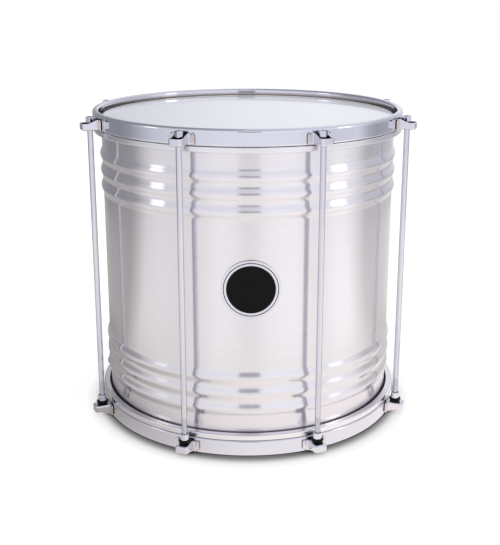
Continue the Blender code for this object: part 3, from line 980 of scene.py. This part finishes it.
@dataclass
class EarRow:
    """The eight ears of a hoop: pressed pockets, each welded on by two flanges.

    An ear's height is measured from its base, the outer side of its floor, towards the drum's end.
    """

    end: End
    finish: Finish
    back: float = 160.3 * MM
    front: float = 177.2 * MM
    half_width: float = 6.653 * MM
    flange_span: float = 5.35 * MM
    flange_height: float = 10.4 * MM
    flange_corner: float = 2.4 * MM
    wall_height: float = 7.0 * MM
    slope_past_rod: float = 3.0 * MM
    corner: float = 3.2 * MM
    bend: float = 1.0 * MM
    floor_bend: float = 2.0 * MM
    flange_foot_round: float = 0.8 * MM
    lip_round: float = 0.25 * MM
    bend_steps: int = 5
    hole_sides: int = 24
    weld_radius: float = 1.1 * MM
    weld_height: float = 9.7 * MM
    bead_radius: float = 0.6 * MM
    bead_ends: Point = (0.7 * MM, 8.6 * MM)
    bead_ripples: int = 6
    tint_reach: Point = (9.0 * MM, 12.2 * MM)
    tint_levels: Point = (0.08, 1.0)

    @property
    def tip(self) -> float:
        """Distance of a flange's end from the ear's middle."""
        return self.half_width + self.flange_span

    def half_plan(self, inset: float) -> list[Point]:
        """(sideways, radius) points of half a wall face, from the flange's bend to the nose's middle.

        Args:
            inset: 0 for the outer face, the sheet's thickness for the inner one.

        Returns:
            The points, the last one in the middle of the nose.
        """
        side = self.half_width - inset
        start = self.back + SIZES.sheet - inset
        bend = self.bend + inset
        rounding = self.corner - inset
        points = arc((side + bend, start + bend), bend, 270, 180, self.bend_steps)
        points.append((side, SIZES.rod_circle + self.slope_past_rod))
        points += arc((side - rounding, self.front - inset - rounding), rounding, 0, 90, 7)
        return points + [(0.0, self.front - inset)]

    def flange_line(self) -> list[Point]:
        """(sideways, height) points of a flange's top, from its end round its corner."""
        centre = (self.tip - self.flange_corner, self.flange_height - self.flange_corner)
        return arc(centre, self.flange_corner, 0, 90, self.bend_steps)

    def wall_top(self, radius: float) -> float:
        """Height of the wall: it falls from the flange, then stays level round the nose."""
        share = ramp(radius, self.back + SIZES.sheet, SIZES.rod_circle + self.slope_past_rod)
        return self.flange_height + share * (self.wall_height - self.flange_height)

    def half_foot(self, share: float) -> list[Corner]:
        """(sideways, radius, height) points of half the outer face, on its rounding up from the floor.

        Args:
            share: 0 on the floor's side of the rounding, 1 on the wall's side.

        Returns:
            The points, from the flange's end to the middle of the nose.
        """
        inwards, upwards = 1 - math.sin(share * math.pi / 2), 1 - math.cos(share * math.pi / 2)
        fine = self.flange_foot_round
        front = self.back + SIZES.sheet - fine * inwards
        points = [(s, front, fine * upwards) for s, _ in self.flange_line()]
        for k in range(len(self.half_plan(0))):
            radius = fine + (self.floor_bend - fine) * min(k / self.bend_steps, 1)
            points.append((*self.half_plan(radius * inwards)[k], radius * upwards))
        return points

    def half_lip(self, inset: float) -> list[Corner]:
        """(sideways, radius, height) points of half the lip, on its outer side or, by an inset, its inner one."""
        flange = [(s, self.back + SIZES.sheet - inset, height) for s, height in self.flange_line()]
        return flange + [(s, r, self.wall_top(r)) for s, r in self.half_plan(inset)]

    def weld_mark(self) -> bmesh.types.BMesh:
        """The low ring round a dark dimple that a spot weld leaves, its axis along Z."""
        size = self.weld_radius
        outline = [
            (0.0, 0.03 * MM),
            (0.4 * size, 0.03 * MM),
            (0.62 * size, 0.22 * MM),
            (0.82 * size, 0.18 * MM),
            (size, -0.02 * MM),
            (size, -0.3 * MM),
            (0.0, -0.3 * MM),
        ]
        return turned(outline, 16)

    def weld_bead(self) -> bmesh.types.BMesh:
        """The rippled bead that joins a flange's end to the hoop, on the Z axis."""
        sections = []
        steps = 6 * self.bead_ripples
        base, (foot, top) = self.end.ear_base, self.bead_ends
        for k in range(steps + 1):
            share = k / steps
            body = 0.3 + 0.7 * math.sqrt(1 - abs(2 * share - 1) ** 8)
            ripple = 1 + 0.06 * math.cos(math.tau * self.bead_ripples * share)
            height = self.end.height(base - foot - (top - foot) * share)
            sections.append(round_section(self.bead_radius * body * ripple, height, 12))
        return lofted(sections, ring=False)

    def sheet(self) -> bmesh.types.BMesh:
        """The pressed sheet of one ear, on the side of the badge."""
        shape = bmesh.new()

        def placed(points: Sequence[Corner]) -> list[bmesh.types.BMVert]:
            """Vertices of (sideways, radius, height) points."""
            return [shape.verts.new((s, -r, self.end.height(self.end.ear_base - h))) for s, r, h in points]

        def line(half: Sequence[Corner]) -> list[bmesh.types.BMVert]:
            """Vertices of a whole line from its half, which ends in the middle."""
            return placed([*half, *((-s, r, h) for s, r, h in half[-2::-1])])

        thick = SIZES.sheet
        turned_up = [line(self.half_foot(k / 6)) for k in range(7)]
        lip, behind = line(self.half_lip(0)), line(self.half_lip(thick))
        floor = line([(s, r, thick) for s, r in self.half_plan(thick)])
        ends = placed([(self.tip, self.back, 0), (-self.tip, self.back, 0)])
        middle = placed([(0.0, self.back, 0), (0.0, self.back, thick)])
        edge = len(self.flange_line())
        inner_lip = behind[edge:-edge]
        strips = [*zip(turned_up, turned_up[1:]), (turned_up[-1], lip), (lip, behind), (inner_lip, floor)]
        for first, second in strips:
            for k in range(len(first) - 1):
                shape.faces.new((first[k], first[k + 1], second[k + 1], second[k]))
        for k, end in ((0, ends[0]), (-1, ends[1])):
            shape.faces.new([end, *(row[k] for row in turned_up), lip[k], behind[k]])
        shape.faces.new([ends[0], middle[0], ends[1], *behind[: -edge - 2 : -1], floor[-1], middle[1], floor[0], *behind[edge::-1]])
        turns = [math.tau * k / self.hole_sides for k in range(self.hole_sides)]
        reach = self.end.ear_hole
        hole = [(reach * math.sin(a), SIZES.rod_circle + reach * math.cos(a)) for a in turns]
        outside = [ends[0], *turned_up[0], ends[1]]
        rims = []
        for loop, back, height in ((outside, middle[0], 0), (floor, middle[1], thick)):
            rim = placed([(s, r, height) for s, r in hole])
            nose, far = len(loop) // 2, self.hole_sides // 2
            shape.faces.new([*loop[: nose + 1], *rim[: far + 1], back])
            shape.faces.new([*loop[nose:], back, *rim[far:], rim[0]])
            rims.append(rim)
        for k in range(self.hole_sides):
            after = (k + 1) % self.hole_sides
            shape.faces.new((rims[0][k], rims[0][after], rims[1][after], rims[1][k]))
        bmesh.ops.recalc_face_normals(shape, faces=shape.faces)
        corners = [[row[k] for row in (*turned_up, lip)] for k in (0, -1)]
        edges = [shape.edges.get(pair) for row in (lip, inner_lip, *corners) for pair in zip(row, row[1:])]
        bmesh.ops.bevel(
            shape, geom=edges, offset=self.lip_round, offset_type="OFFSET", segments=3, profile=0.5, affect="EDGES"
        )
        return shape

    def mark(self, shape: bmesh.types.BMesh, welds: Sequence[Vector]) -> None:
        """Say where shade is painted, inside the pocket, where the weld marks are dark, and where heat has tinted it.
        """
        pocket, tint = shape.faces.layers.float.new("pocket"), shape.verts.layers.float.new("tint")
        inner = Vector((self.half_width - SIZES.sheet, self.front - SIZES.sheet)) + Vector((0.1, 0.1)) * MM
        for face in shape.faces:
            centre = face.calc_center_median()
            height = self.end.ear_base - self.end.height(centre.z)
            # Inside the pocket: painted shade.
            if abs(centre.x) < inner.x and -centre.y < inner.y and height > SIZES.sheet - 0.1 * MM:
                face[pocket] = 1.0
            # Weld marks: their own dark dimples.
            elif min((centre - weld).length for weld in welds) < 0.6 * self.weld_radius:
                face[pocket] = 0.9
        for vertex in shape.verts:
            near_weld = ramp(abs(vertex.co.x), *self.tint_reach)
            vertex[tint] = self.tint_levels[0] + near_weld * (self.tint_levels[1] - self.tint_levels[0])

    def ear(self) -> bpy.types.Mesh:
        """One ear with its welds, on the side of the badge."""
        shape = self.sheet()
        across = self.half_width + self.bend + (self.flange_span - self.bend) / 2
        height = self.end.height(self.end.ear_base - self.weld_height)
        welds = []
        for side in (-1, 1):
            welds.append(Vector((side * across, -(self.back + SIZES.sheet), height)))
            facing = Matrix.Translation(welds[-1]) @ Matrix.Rotation(math.radians(90), 4, "X")
            add_shape(shape, self.weld_mark(), facing)
            add_shape(shape, self.weld_bead(), Matrix.Translation((side * (self.tip - 0.3 * MM), -self.back - 0.9 * MM, 0)))
        self.mark(shape, welds)
        mesh = bpy.data.meshes.new("ear")
        shape.to_mesh(mesh)
        shape.free()
        mesh.shade_smooth()
        mesh.set_sharp_from_angle(angle=SHARP_ANGLE)
        return mesh

    def build(self, tree: bpy.types.NodeTree) -> None:
        """Copy the ear round the hoop and put the row in place."""
        values = {"Count": SIZES.rod_count, "First Turn": SIZES.rod_turn(1)}
        row = grown(self.ear(), tree, self.finish, values)
        fit(f"{self.end.value}_ears", row, self.finish, DRUM, numbered(f"{self.end.value}_ear"))


@dataclass
class TensionRods:
    """The eight rods with rolled threads and square heads, and the washers under their collars.

    A key turn is how far a rod's square head is turned from facing outwards, in degrees.
    """

    finish: Finish
    tip: float = 9.0 * MM
    thread_end: float = 39.5 * MM
    thread_pitch: float = 1.058 * MM
    thread_core: float = 2.38 * MM
    thread_ridge: float = 0.36 * MM
    thread_steps: int = 16
    tip_taper: float = 0.8 * MM
    collar_radius: float = 4.1 * MM
    collar_height: float = 1.8 * MM
    collar_depth: float = 11.9 * MM
    key_half_width: float = 2.95 * MM
    key_length: float = 8.3 * MM
    key_round: float = 0.45 * MM
    washer_depth: float = 13.4 * MM
    washer_radius: float = 4.6 * MM
    washer_thickness: float = 1.2 * MM
    key_turns: tuple[float, ...] = (43, -33, 12, -20, 38, 5, 31, -35)
    segments: int = 32

    def rod(self) -> bpy.types.Mesh:
        """One rod on the Z axis, without its thread."""
        collar_foot = End.TOP.height(self.collar_depth)
        collar_top = collar_foot + self.collar_height
        key_top = collar_top + self.key_length
        core, shank = self.thread_core, SIZES.rod_radius
        outline = filleted(
            [
                (0.0, self.tip, 0),
                (core - self.tip_taper, self.tip, 0),
                (core, self.tip + self.tip_taper, 0),
                (core, self.thread_end, 0),
                (shank, self.thread_end + 0.6 * MM, 0),
                (shank, collar_foot, 0.4 * MM),
                (self.collar_radius, collar_foot, 0.3 * MM),
                (self.collar_radius, collar_top, 0.5 * MM),
                (0.0, collar_top, 0),
            ],
            steps=3,
        )
        shape = turned(outline, self.segments)
        half, edge = self.key_half_width, self.key_round
        sections = [
            square_section(half, edge * 1.6, collar_top - 0.2 * MM),
            square_section(half, edge * 1.6, key_top - edge),
            square_section(half - 0.3 * edge, edge * 1.4, key_top - 0.3 * edge),
            square_section(half - edge, edge, key_top),
        ]
        add_shape(shape, lofted(sections, ring=False))
        return to_mesh("rod", shape)

    def washer(self) -> bpy.types.Mesh:
        """One washer on the Z axis."""
        foot = End.TOP.height(self.washer_depth)
        top, edge = foot + self.washer_thickness, 0.2 * MM
        corners = [
            (SIZES.rod_bore, foot, edge),
            (self.washer_radius, foot, edge),
            (self.washer_radius, top, edge),
            (SIZES.rod_bore, top, edge),
        ]
        return to_mesh("washer", turned(filleted(corners, steps=3), self.segments))

    def build(self) -> None:
        """Wind the thread and put each rod and washer on its own body."""
        length = self.thread_end - self.tip - self.tip_taper
        values = {
            "Foot": self.tip + self.tip_taper,
            "Length": length,
            "Turns": length / self.thread_pitch,
            "Core": self.thread_core,
            "Ridge": self.thread_ridge,
            "Steps": self.thread_steps,
        }
        rod, washer = grown(self.rod(), thread_tree(), self.finish, values), self.washer()
        for number, key_turn in enumerate(self.key_turns, start=1):
            turn = SIZES.rod_turn(number)
            axis = (SIZES.rod_circle * math.sin(turn), -SIZES.rod_circle * math.cos(turn), 0)
            for kind, mesh, own_turn, body, node in (
                ("threaded_rod", rod, math.radians(key_turn), "rod", "tension_rod"),
                ("collar_washer", washer, 0.0, "washer", "rod_washer"),
            ):
                copy = mesh.copy()
                copy.transform(Matrix.Translation(axis) @ Matrix.Rotation(turn + own_turn, 4, "Z"))
                fit(f"{kind}_{number}", copy, self.finish, f"{body}_{number}", [f"{node}_{number}"])


@dataclass
class SleeveNuts:
    """The eight sleeve nuts in the lower ears and the nylon rings round their barrels."""

    nut_finish: Finish
    ring_finish: Finish
    radius: float = 4.3 * MM
    head_half_width: float = 5.0 * MM
    head_top: float = 11.2 * MM
    chamfer: float = 0.5 * MM
    ring_foot: float = 13.1 * MM
    foot_wall: float = 0.75 * MM
    groove_wall: float = 0.35 * MM
    lip_wall: float = 1.45 * MM
    foot_height: float = 1.2 * MM
    groove_height: float = 0.5 * MM
    lip_height: float = 2.0 * MM

    def nut(self) -> bmesh.types.BMesh:
        """One nut on the Z axis: square head below, round barrel above."""
        bore, edge = SIZES.rod_bore, 0.3 * MM
        half, foot, top = self.head_half_width, SIZES.nut_foot, SIZES.nut_top
        return lofted(
            [
                round_section(bore, foot),
                square_section(half - edge, 0.5 * MM, foot),
                square_section(half, 0.7 * MM, foot + edge),
                square_section(half, 0.7 * MM, self.head_top - edge),
                square_section(half - edge, 0.5 * MM, self.head_top),
                round_section(self.radius, self.head_top),
                round_section(self.radius, top - self.chamfer),
                round_section(self.radius - 0.35 * self.chamfer, top - 0.3 * self.chamfer),
                round_section(self.radius - self.chamfer, top),
                round_section(bore + 0.2 * MM, top),
                round_section(bore, top - 0.3 * MM),
            ],
            ring=True,
        )

    def nylon_ring(self) -> bmesh.types.BMesh:
        """One nylon ring on the Z axis: foot, groove and wider lip."""
        bore, foot = SIZES.sleeve_bore, self.ring_foot
        groove = foot + self.foot_height
        lip = groove + self.groove_height
        top, edge = lip + self.lip_height, 0.15 * MM
        corners = [
            (bore, foot, 0),
            (bore + self.foot_wall, foot, edge),
            (bore + self.foot_wall, groove, edge),
            (bore + self.groove_wall, lip, 0),
            (bore + self.lip_wall, lip, 0.7 * MM),
            (bore + self.lip_wall, top, 0.9 * MM),
            (bore, top, edge),
        ]
        return turned(filleted(corners, steps=4), 32)

    def build(self, tree: bpy.types.NodeTree) -> None:
        """Copy the nut and its ring round the drum and put them in place."""
        axis = Matrix.Translation((0, -SIZES.rod_circle, 0))
        values = {"Count": SIZES.rod_count, "First Turn": SIZES.rod_turn(1)}
        for name, shape, finish, node in (
            ("sleeve_nuts", self.nut(), self.nut_finish, "sleeve_nut"),
            ("nylon_rings", self.nylon_ring(), self.ring_finish, "nut_grommet"),
        ):
            mesh = to_mesh(name, shape)
            mesh.transform(axis)
            fit(name, grown(mesh, tree, finish, values), finish, DRUM, numbered(node))


@dataclass
class Badge:
    """A round metal plate bent to the shell, with a dark enamel field and a thin enamel line round it."""

    plate_finish: Finish
    inlay_finish: Finish
    centre_height: float = 167.7 * MM
    back: float = 152.27 * MM
    radius: float = 28.4 * MM
    thickness: float = 0.7 * MM
    field_radius: float = 23.2 * MM
    field_rise: float = 0.8 * MM
    line_inner: float = 25.3 * MM
    line_outer: float = 26.1 * MM
    segments: int = 96

    def bent(self, outline: Sequence[Point]) -> bmesh.types.BMesh:
        """Turn a (radius, rise) outline and bend it round the shell at the badge's place."""
        shape = turned(outline, self.segments)
        for vertex in shape.verts:
            across, up, rise = vertex.co
            angle, distance = across / SIZES.shell_radius, self.back + rise
            vertex.co = (distance * math.sin(angle), -distance * math.cos(angle), self.centre_height + up)
        return shape

    @staticmethod
    def disc_rings(radius: float, rise: float, count: int) -> list[Point]:
        """(radius, rise) points from the middle outwards, so that the disc can bend."""
        return [(radius * k / count, rise) for k in range(count)]

    def plate(self) -> bmesh.types.BMesh:
        """The plate: a raised rim with a groove round a sunk field."""
        top, sunk = self.thickness, 0.35 * MM
        face = [
            (self.field_radius - 0.2 * MM, sunk),
            (self.field_radius + 0.3 * MM, top),
            (self.line_inner, top),
            (self.line_inner + 0.15 * MM, sunk),
            (self.line_outer - 0.15 * MM, sunk),
            (self.line_outer, top),
        ]
        rim = arc((self.radius - 0.5 * MM, top - 0.5 * MM), 0.5 * MM, 90, 0, 5)
        back = self.disc_rings(self.radius, 0.0, 12)
        return self.bent([*self.disc_rings(self.field_radius, sunk, 10), *face, *rim, (self.radius, 0.0), *back[::-1]])

    def inlay(self) -> bmesh.types.BMesh:
        """The enamel: the domed field, and the line in the groove."""
        low, high = 0.36 * MM, self.field_rise
        edge = self.field_radius
        face = [(edge * k / 10, high) for k in range(10)]
        rim = arc((edge - 0.35 * MM, high - 0.35 * MM), 0.35 * MM, 90, 0, 4)
        shape = self.bent([*face, *rim, (edge, low), *self.disc_rings(edge, low, 10)[::-1]])
        inner, outer, top = self.line_inner + 0.1 * MM, self.line_outer - 0.1 * MM, self.thickness - 0.06 * MM
        add_shape(shape, self.bent([(inner, low), (inner, top), (outer, top), (outer, low)]))
        return shape

    def build(self) -> None:
        """Bend the plate and the enamel and put them in place."""
        fit("badge_rim_plate", to_mesh("plate", self.plate()), self.plate_finish, DRUM, ["badge_plate"])
        fit("badge_enamel", to_mesh("enamel", self.inlay()), self.inlay_finish, DRUM, ["badge_inlay"])


# Studio


@dataclass
class Studio:
    """A grey floor that glows white but for a painted contact shadow round the drum's foot, soft lamps, cloths that
    only the shiny pieces mirror, and the camera.

    A cloth's levels are pairs: a turn round the drum in degrees from the badge, left side negative, and how
    bright the cloth is there. It fades from one to the next.
    """

    camera_distance: float = 0.98499
    camera_height: float = 0.44706
    camera_side: float = math.radians(1.1)
    camera_tilt: float = math.radians(74.273)
    camera_pan: float = math.radians(-1.233)
    lens: float = 62.39
    shift: float = -0.0536
    floor_radius: float = 6.0
    # Darker than the floor shows, so that the painted contact shadow near the foot goes deep; the glow lifts it to
    # white elsewhere.
    floor_colour: str = "#A8A8A9"
    # The floor's glow by distance from the axis: none at the hoop's foot and full a little way off, a painted contact
    # shadow, narrowed at the sides by the squash.
    lift_places: tuple[float, ...] = (0.1632, 0.1672, 0.1712, 0.1752, 0.185, 1.4)
    lift_levels: tuple[float, ...] = (0.0, 0.18, 0.47, 0.67, 0.81, 0.83)
    painted_shadow_squash: float = 1.028
    sky: float = 0.58
    cloth_step: float = 4.0
    wall_levels: tuple[Point, ...] = (
        (-180, 0.95), (-172, 0.70), (-164, 0.45), (-150, 0.36), (-125, 0.31), (-106, 0.34), (-91, 0.40), (-86, 0.64),
        (-78, 0.78), (-60, 0.86), (-40, 0.96), (-20, 1.03), (20, 1.12), (46, 1.06), (64, 0.98), (72, 1.06),
        (84, 1.0), (91, 0.84), (97, 0.68), (118, 0.67), (132, 0.72), (150, 0.85), (172, 1.05), (180, 0.95),
    )  # fmt: skip
    skirting_levels: tuple[Point, ...] = (
        (-180, 0.8), (-165, 0.42), (-140, 0.33), (-102, 0.33), (-90, 0.40), (-80, 0.58), (-70, 0.75), (-50, 0.90),
        (-20, 1.0), (10, 1.05), (32, 1.02), (44, 0.86), (60, 0.86), (80, 0.90), (91, 0.58), (100, 0.46), (118, 0.52),
        (140, 0.7), (165, 0.9), (180, 0.8),
    )  # fmt: skip
    far_mat_levels: tuple[Point, ...] = (
        (-180, 0.60), (-153, 0.40), (-132, 0.22), (-118, 0.27), (-106, 0.31), (-96, 0.31), (-88, 0.52), (-78, 0.74),
        (-62, 0.85), (-48, 0.82), (-34, 0.91), (-20, 1.02), (0, 0.90), (19, 1.03), (32, 1.09), (46, 0.95),
        (68, 0.92), (85, 0.86), (91, 0.74), (96, 0.50), (128, 0.53), (146, 0.56), (165, 0.80), (180, 0.60),
    )  # fmt: skip
    near_mat_levels: tuple[Point, ...] = (
        (-180, 0.70), (-160, 0.52), (-132, 0.46), (-118, 0.46), (-106, 0.48), (-97, 0.46), (-88, 0.66), (-80, 0.90),
        (-62, 0.92), (-48, 0.87), (-34, 0.93), (-20, 1.08), (0, 0.95), (19, 1.11), (32, 1.14), (46, 1.0),
        (64, 1.18), (74, 1.2), (84, 0.94), (92, 0.76), (102, 0.72), (128, 0.78), (146, 0.84), (165, 0.90), (180, 0.70),
    )  # fmt: skip
    inner_mat_levels: tuple[Point, ...] = (
        (-180, 0.50), (-150, 0.37), (-118, 0.34), (-106, 0.39), (-95, 0.42), (-87, 0.62), (-78, 0.72), (-60, 0.76),
        (-20, 0.93), (20, 0.99), (60, 1.0), (85, 0.90), (94, 0.78), (104, 0.69), (128, 0.66), (150, 0.68), (180, 0.50),
    )  # fmt: skip
    foot_levels: tuple[Point, ...] = (
        (-180, 0.50), (-122, 0.38), (-80, 0.42), (-62, 0.46), (-56, 0.53), (-42, 0.64), (-34, 0.69), (-22, 0.83),
        (-12, 0.96), (0, 1.05), (30, 1.10), (130, 1.10), (150, 0.95), (180, 0.50),
    )  # fmt: skip
    gap_levels: tuple[Point, ...] = ((-7.5, 0.15), (7.5, 0.15))
    canopy_levels: tuple[Point, ...] = (
        (-180, 0.62), (-150, 0.36), (-110, 0.33), (-60, 0.50), (0, 0.62), (60, 0.80), (120, 0.94), (160, 0.96), (180, 0.7),
    )  # fmt: skip

    def straight(self, tree: bpy.types.NodeTree) -> bpy.types.NodeSocket:
        """1 where a ray has met nothing matt on its way from the camera, otherwise 0."""
        depth = add_node(tree, "ShaderNodeLightPath").outputs["Diffuse Depth"]
        return add_node(tree, "ShaderNodeMath", {"operation": "LESS_THAN"}, {0: depth, 1: 0.5}).outputs[0]

    def seen(self, tree: bpy.types.NodeTree) -> bpy.types.NodeSocket:
        """1 for what the camera sees straight or through a mirror or glass, otherwise 0."""
        path = add_node(tree, "ShaderNodeLightPath").outputs
        mirrored = add_node(
            tree, "ShaderNodeMath", {"operation": "MULTIPLY"}, {0: path["Is Glossy Ray"], 1: self.straight(tree)}
        )
        first = {0: path["Is Camera Ray"], 1: mirrored.outputs[0]}
        either = add_node(tree, "ShaderNodeMath", {"operation": "MAXIMUM"}, first)
        last = {0: either.outputs[0], 1: path["Is Transmission Ray"]}
        return add_node(tree, "ShaderNodeMath", {"operation": "MAXIMUM"}, last).outputs[0]

    def world(self) -> None:
        """A white surround that lights the drum at a lower level than it shows."""
        world = bpy.data.worlds.new("white_surround")
        world.use_nodes = True
        tree = world.node_tree
        tree.nodes.clear()
        level = {"Value": self.seen(tree), "To Min": self.sky, "To Max": 1.0}
        strength = add_node(tree, "ShaderNodeMapRange", inputs=level).outputs[0]
        light = {"Color": linear("#FFFFFF"), "Strength": strength}
        background = add_node(tree, "ShaderNodeBackground", inputs=light)
        add_node(tree, "ShaderNodeOutputWorld", inputs={"Surface": background.outputs[0]})
        bpy.context.scene.world = world

    def floor(self) -> None:
        """A wide grey floor that glows white away from the drum; near its foot the glow fades out, a painted contact
        shadow over the real one.
        """
        shape = bmesh.new()
        bmesh.ops.create_circle(shape, cap_ends=True, segments=64, radius=self.floor_radius)
        mesh = bpy.data.meshes.new("floor")
        shape.to_mesh(mesh)
        shape.free()
        floor = bpy.data.objects.new("studio_floor", mesh)
        bpy.context.collection.objects.link(floor)
        material = bpy.data.materials.new("pale_studio_floor")
        material.use_nodes = True
        tree = material.node_tree
        tree.nodes.clear()
        place = add_node(tree, "ShaderNodeTexCoord").outputs["Object"]
        # Squashed sideways, so that the painted contact shadow is narrower at the drum's sides.
        spread = {0: place, 1: (self.painted_shadow_squash, 1.0, 1.0)}
        spread = add_node(tree, "ShaderNodeVectorMath", {"operation": "MULTIPLY"}, spread).outputs[0]
        distance = add_node(tree, "ShaderNodeVectorMath", {"operation": "LENGTH"}, {0: spread}).outputs["Value"]
        # Glow rising from nothing at the foot: painted contact shadow.
        places, levels = self.lift_places, self.lift_levels
        rising: Any = levels[0]
        for k in range(1, len(places)):
            stretch = {"From Min": places[k - 1], "From Max": places[k], "To Max": levels[k] - levels[k - 1]}
            step = add_node(tree, "ShaderNodeMapRange", inputs={"Value": distance, **stretch}).outputs[0]
            rising = add_node(tree, "ShaderNodeMath", {"operation": "ADD"}, {0: rising, 1: step}).outputs[0]
        lift = add_node(tree, "ShaderNodeMath", {"operation": "MULTIPLY"}, {0: self.seen(tree), 1: rising})
        matt = add_node(tree, "ShaderNodeBsdfDiffuse", inputs={"Color": linear(self.floor_colour)})
        glow = add_node(tree, "ShaderNodeEmission", inputs={"Strength": lift.outputs[0]})
        both = add_node(tree, "ShaderNodeAddShader", inputs={0: matt.outputs[0], 1: glow.outputs[0]})
        add_node(tree, "ShaderNodeOutputMaterial", inputs={"Surface": both.outputs[0]})
        mesh.materials.append(material)

    def cloth(self, name: str, colour: str, levels: Sequence[Point], lower: Point, upper: Point) -> None:
        """A cloth round the drum that only mirrors see.

        Args:
            name: its name.
            colour: its colour.
            levels: its turns and levels, from left to right.
            lower: distance from the drum's axis and height of its lower edge.
            upper: the same of its upper edge.
        """
        shape = bmesh.new()
        bright = shape.verts.layers.float.new("level")
        stops = [levels[0]]
        for (start, first), (stop, last) in zip(levels, levels[1:]):
            steps = math.ceil((stop - start) / self.cloth_step)
            shares = [k / steps for k in range(1, steps + 1)]
            stops += [(start + (stop - start) * share, first + (last - first) * share) for share in shares]
        rows = []
        for turn, level in stops:
            angle = math.radians(turn)
            rows.append([shape.verts.new((r * math.sin(angle), -r * math.cos(angle), z)) for r, z in (lower, upper)])
            for vertex in rows[-1]:
                vertex[bright] = level
        for first, second in zip(rows, rows[1:]):
            shape.faces.new((first[0], second[0], second[1], first[1]))
        mesh = bpy.data.meshes.new(name)
        shape.to_mesh(mesh)
        shape.free()
        cloth = bpy.data.objects.new(name, mesh)
        bpy.context.collection.objects.link(cloth)
        material = bpy.data.materials.new(f"{name}_cloth")
        material.use_nodes = True
        tree = material.node_tree
        tree.nodes.clear()
        level = add_node(tree, "ShaderNodeAttribute", {"attribute_name": "level"}).outputs["Fac"]
        shown = add_node(tree, "ShaderNodeMath", {"operation": "MULTIPLY"}, {0: level, 1: self.straight(tree)})
        glow = add_node(tree, "ShaderNodeEmission", inputs={"Color": linear(colour), "Strength": shown.outputs[0]})
        add_node(tree, "ShaderNodeOutputMaterial", inputs={"Surface": glow.outputs[0]})
        mesh.materials.append(material)
        cloth.visible_camera = cloth.visible_diffuse = cloth.visible_shadow = False

    def lamp(self, name: str, turn: float, distance: float, height: float, size: Point, power: float) -> None:
        """A soft rectangular lamp that faces the drum.

        Args:
            name: its name.
            turn: its place round the drum, in degrees from the badge.
            distance: its distance from the drum's axis.
            height: its height.
            size: its width and height.
            power: its power in watts.
        """
        light = bpy.data.lights.new(name, "AREA")
        light.shape = "RECTANGLE"
        light.size, light.size_y = size
        light.energy = power
        lamp = bpy.data.objects.new(name, light)
        angle = math.radians(turn)
        lamp.location = (distance * math.sin(angle), -distance * math.cos(angle), height)
        towards = Vector((0, 0, SIZES.total_height / 2)) - lamp.location
        lamp.rotation_euler = towards.to_track_quat("-Z", "Y").to_euler()
        lamp.visible_camera = False
        bpy.context.collection.objects.link(lamp)

    def camera(self) -> None:
        """The camera, as the photograph's ellipses place it."""
        data = bpy.data.cameras.new("camera")
        data.lens = self.lens
        data.sensor_width = 36.0
        data.sensor_fit = "AUTO"
        data.shift_y = self.shift
        data.clip_start = 0.01
        camera = bpy.data.objects.new("camera", data)
        across = -self.camera_distance * math.sin(self.camera_side)
        along = -self.camera_distance * math.cos(self.camera_side)
        camera.location = (across, along, self.camera_height)
        camera.rotation_euler = (self.camera_tilt, 0, self.camera_pan)
        bpy.context.collection.objects.link(camera)
        bpy.context.scene.camera = camera

    def build(self) -> None:
        """Set up the room, the lamps and the camera."""
        self.world()
        self.floor()
        self.cloth("walls", "#F5F8FF", self.wall_levels, (1.9, 0.12), (1.9, 1.6))
        self.cloth("skirting", "#F5F8FF", self.skirting_levels, (1.6, 0.012), (1.9, 0.12))
        self.cloth("far_mats", "#FEFEFF", self.far_mat_levels, (0.95, 0.008), (1.6, 0.012))
        self.cloth("near_mats", "#FFFEFD", self.near_mat_levels, (0.36, 0.004), (0.95, 0.008))
        self.cloth("inner_mat", "#FFFDFA", self.inner_mat_levels, (0.215, 0.002), (0.36, 0.004))
        self.cloth("foot_mat", "#FFFBF8", self.foot_levels, (0.1575, 0.0002), (0.215, 0.002))
        self.cloth("canopy", "#F7F9FF", self.canopy_levels, (1.9, 1.6), (0.05, 1.86))
        self.cloth("camera_gap", "#FFFFFF", self.gap_levels, (1.25, 0.30), (1.25, 0.66))
        self.lamp("left_lamp", -71, 1.5, 0.68, (0.3, 0.3), 0.4)
        self.lamp("right_lamp", 69, 1.5, 0.68, (0.3, 0.32), 0.8)
        self.lamp("top_lamp", 50, 0.32, 1.9, (1.2, 1.2), 7.4)
        self.camera()
        bpy.context.scene.view_settings.view_transform = "Standard"
        LOG.info("studio: floor, cloths, lamps and camera")


def main() -> None:
    """Build the drum, sub-assembly by sub-assembly, and the studio round it."""
    logging.basicConfig(level=logging.INFO, format="%(name)s: %(message)s")
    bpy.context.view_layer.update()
    chrome, pressed, drawn = ChromedSteel(), PressedChrome(), DrawnAluminium()
    ring = ring_tree()
    Shell(BrushedAluminium()).build()
    for end in End:
        Head(end, WhiteFilm(), drawn).build()
        CounterHoop(end, chrome).build()
        EarRow(end, pressed).build(ring)
    TensionRods(PlatedRod()).build()
    SleeveNuts(chrome, BlackNylon()).build(ring)
    Badge(chrome, BlackEnamel()).build()
    Studio().build()


if __name__ == "__main__":
    main()
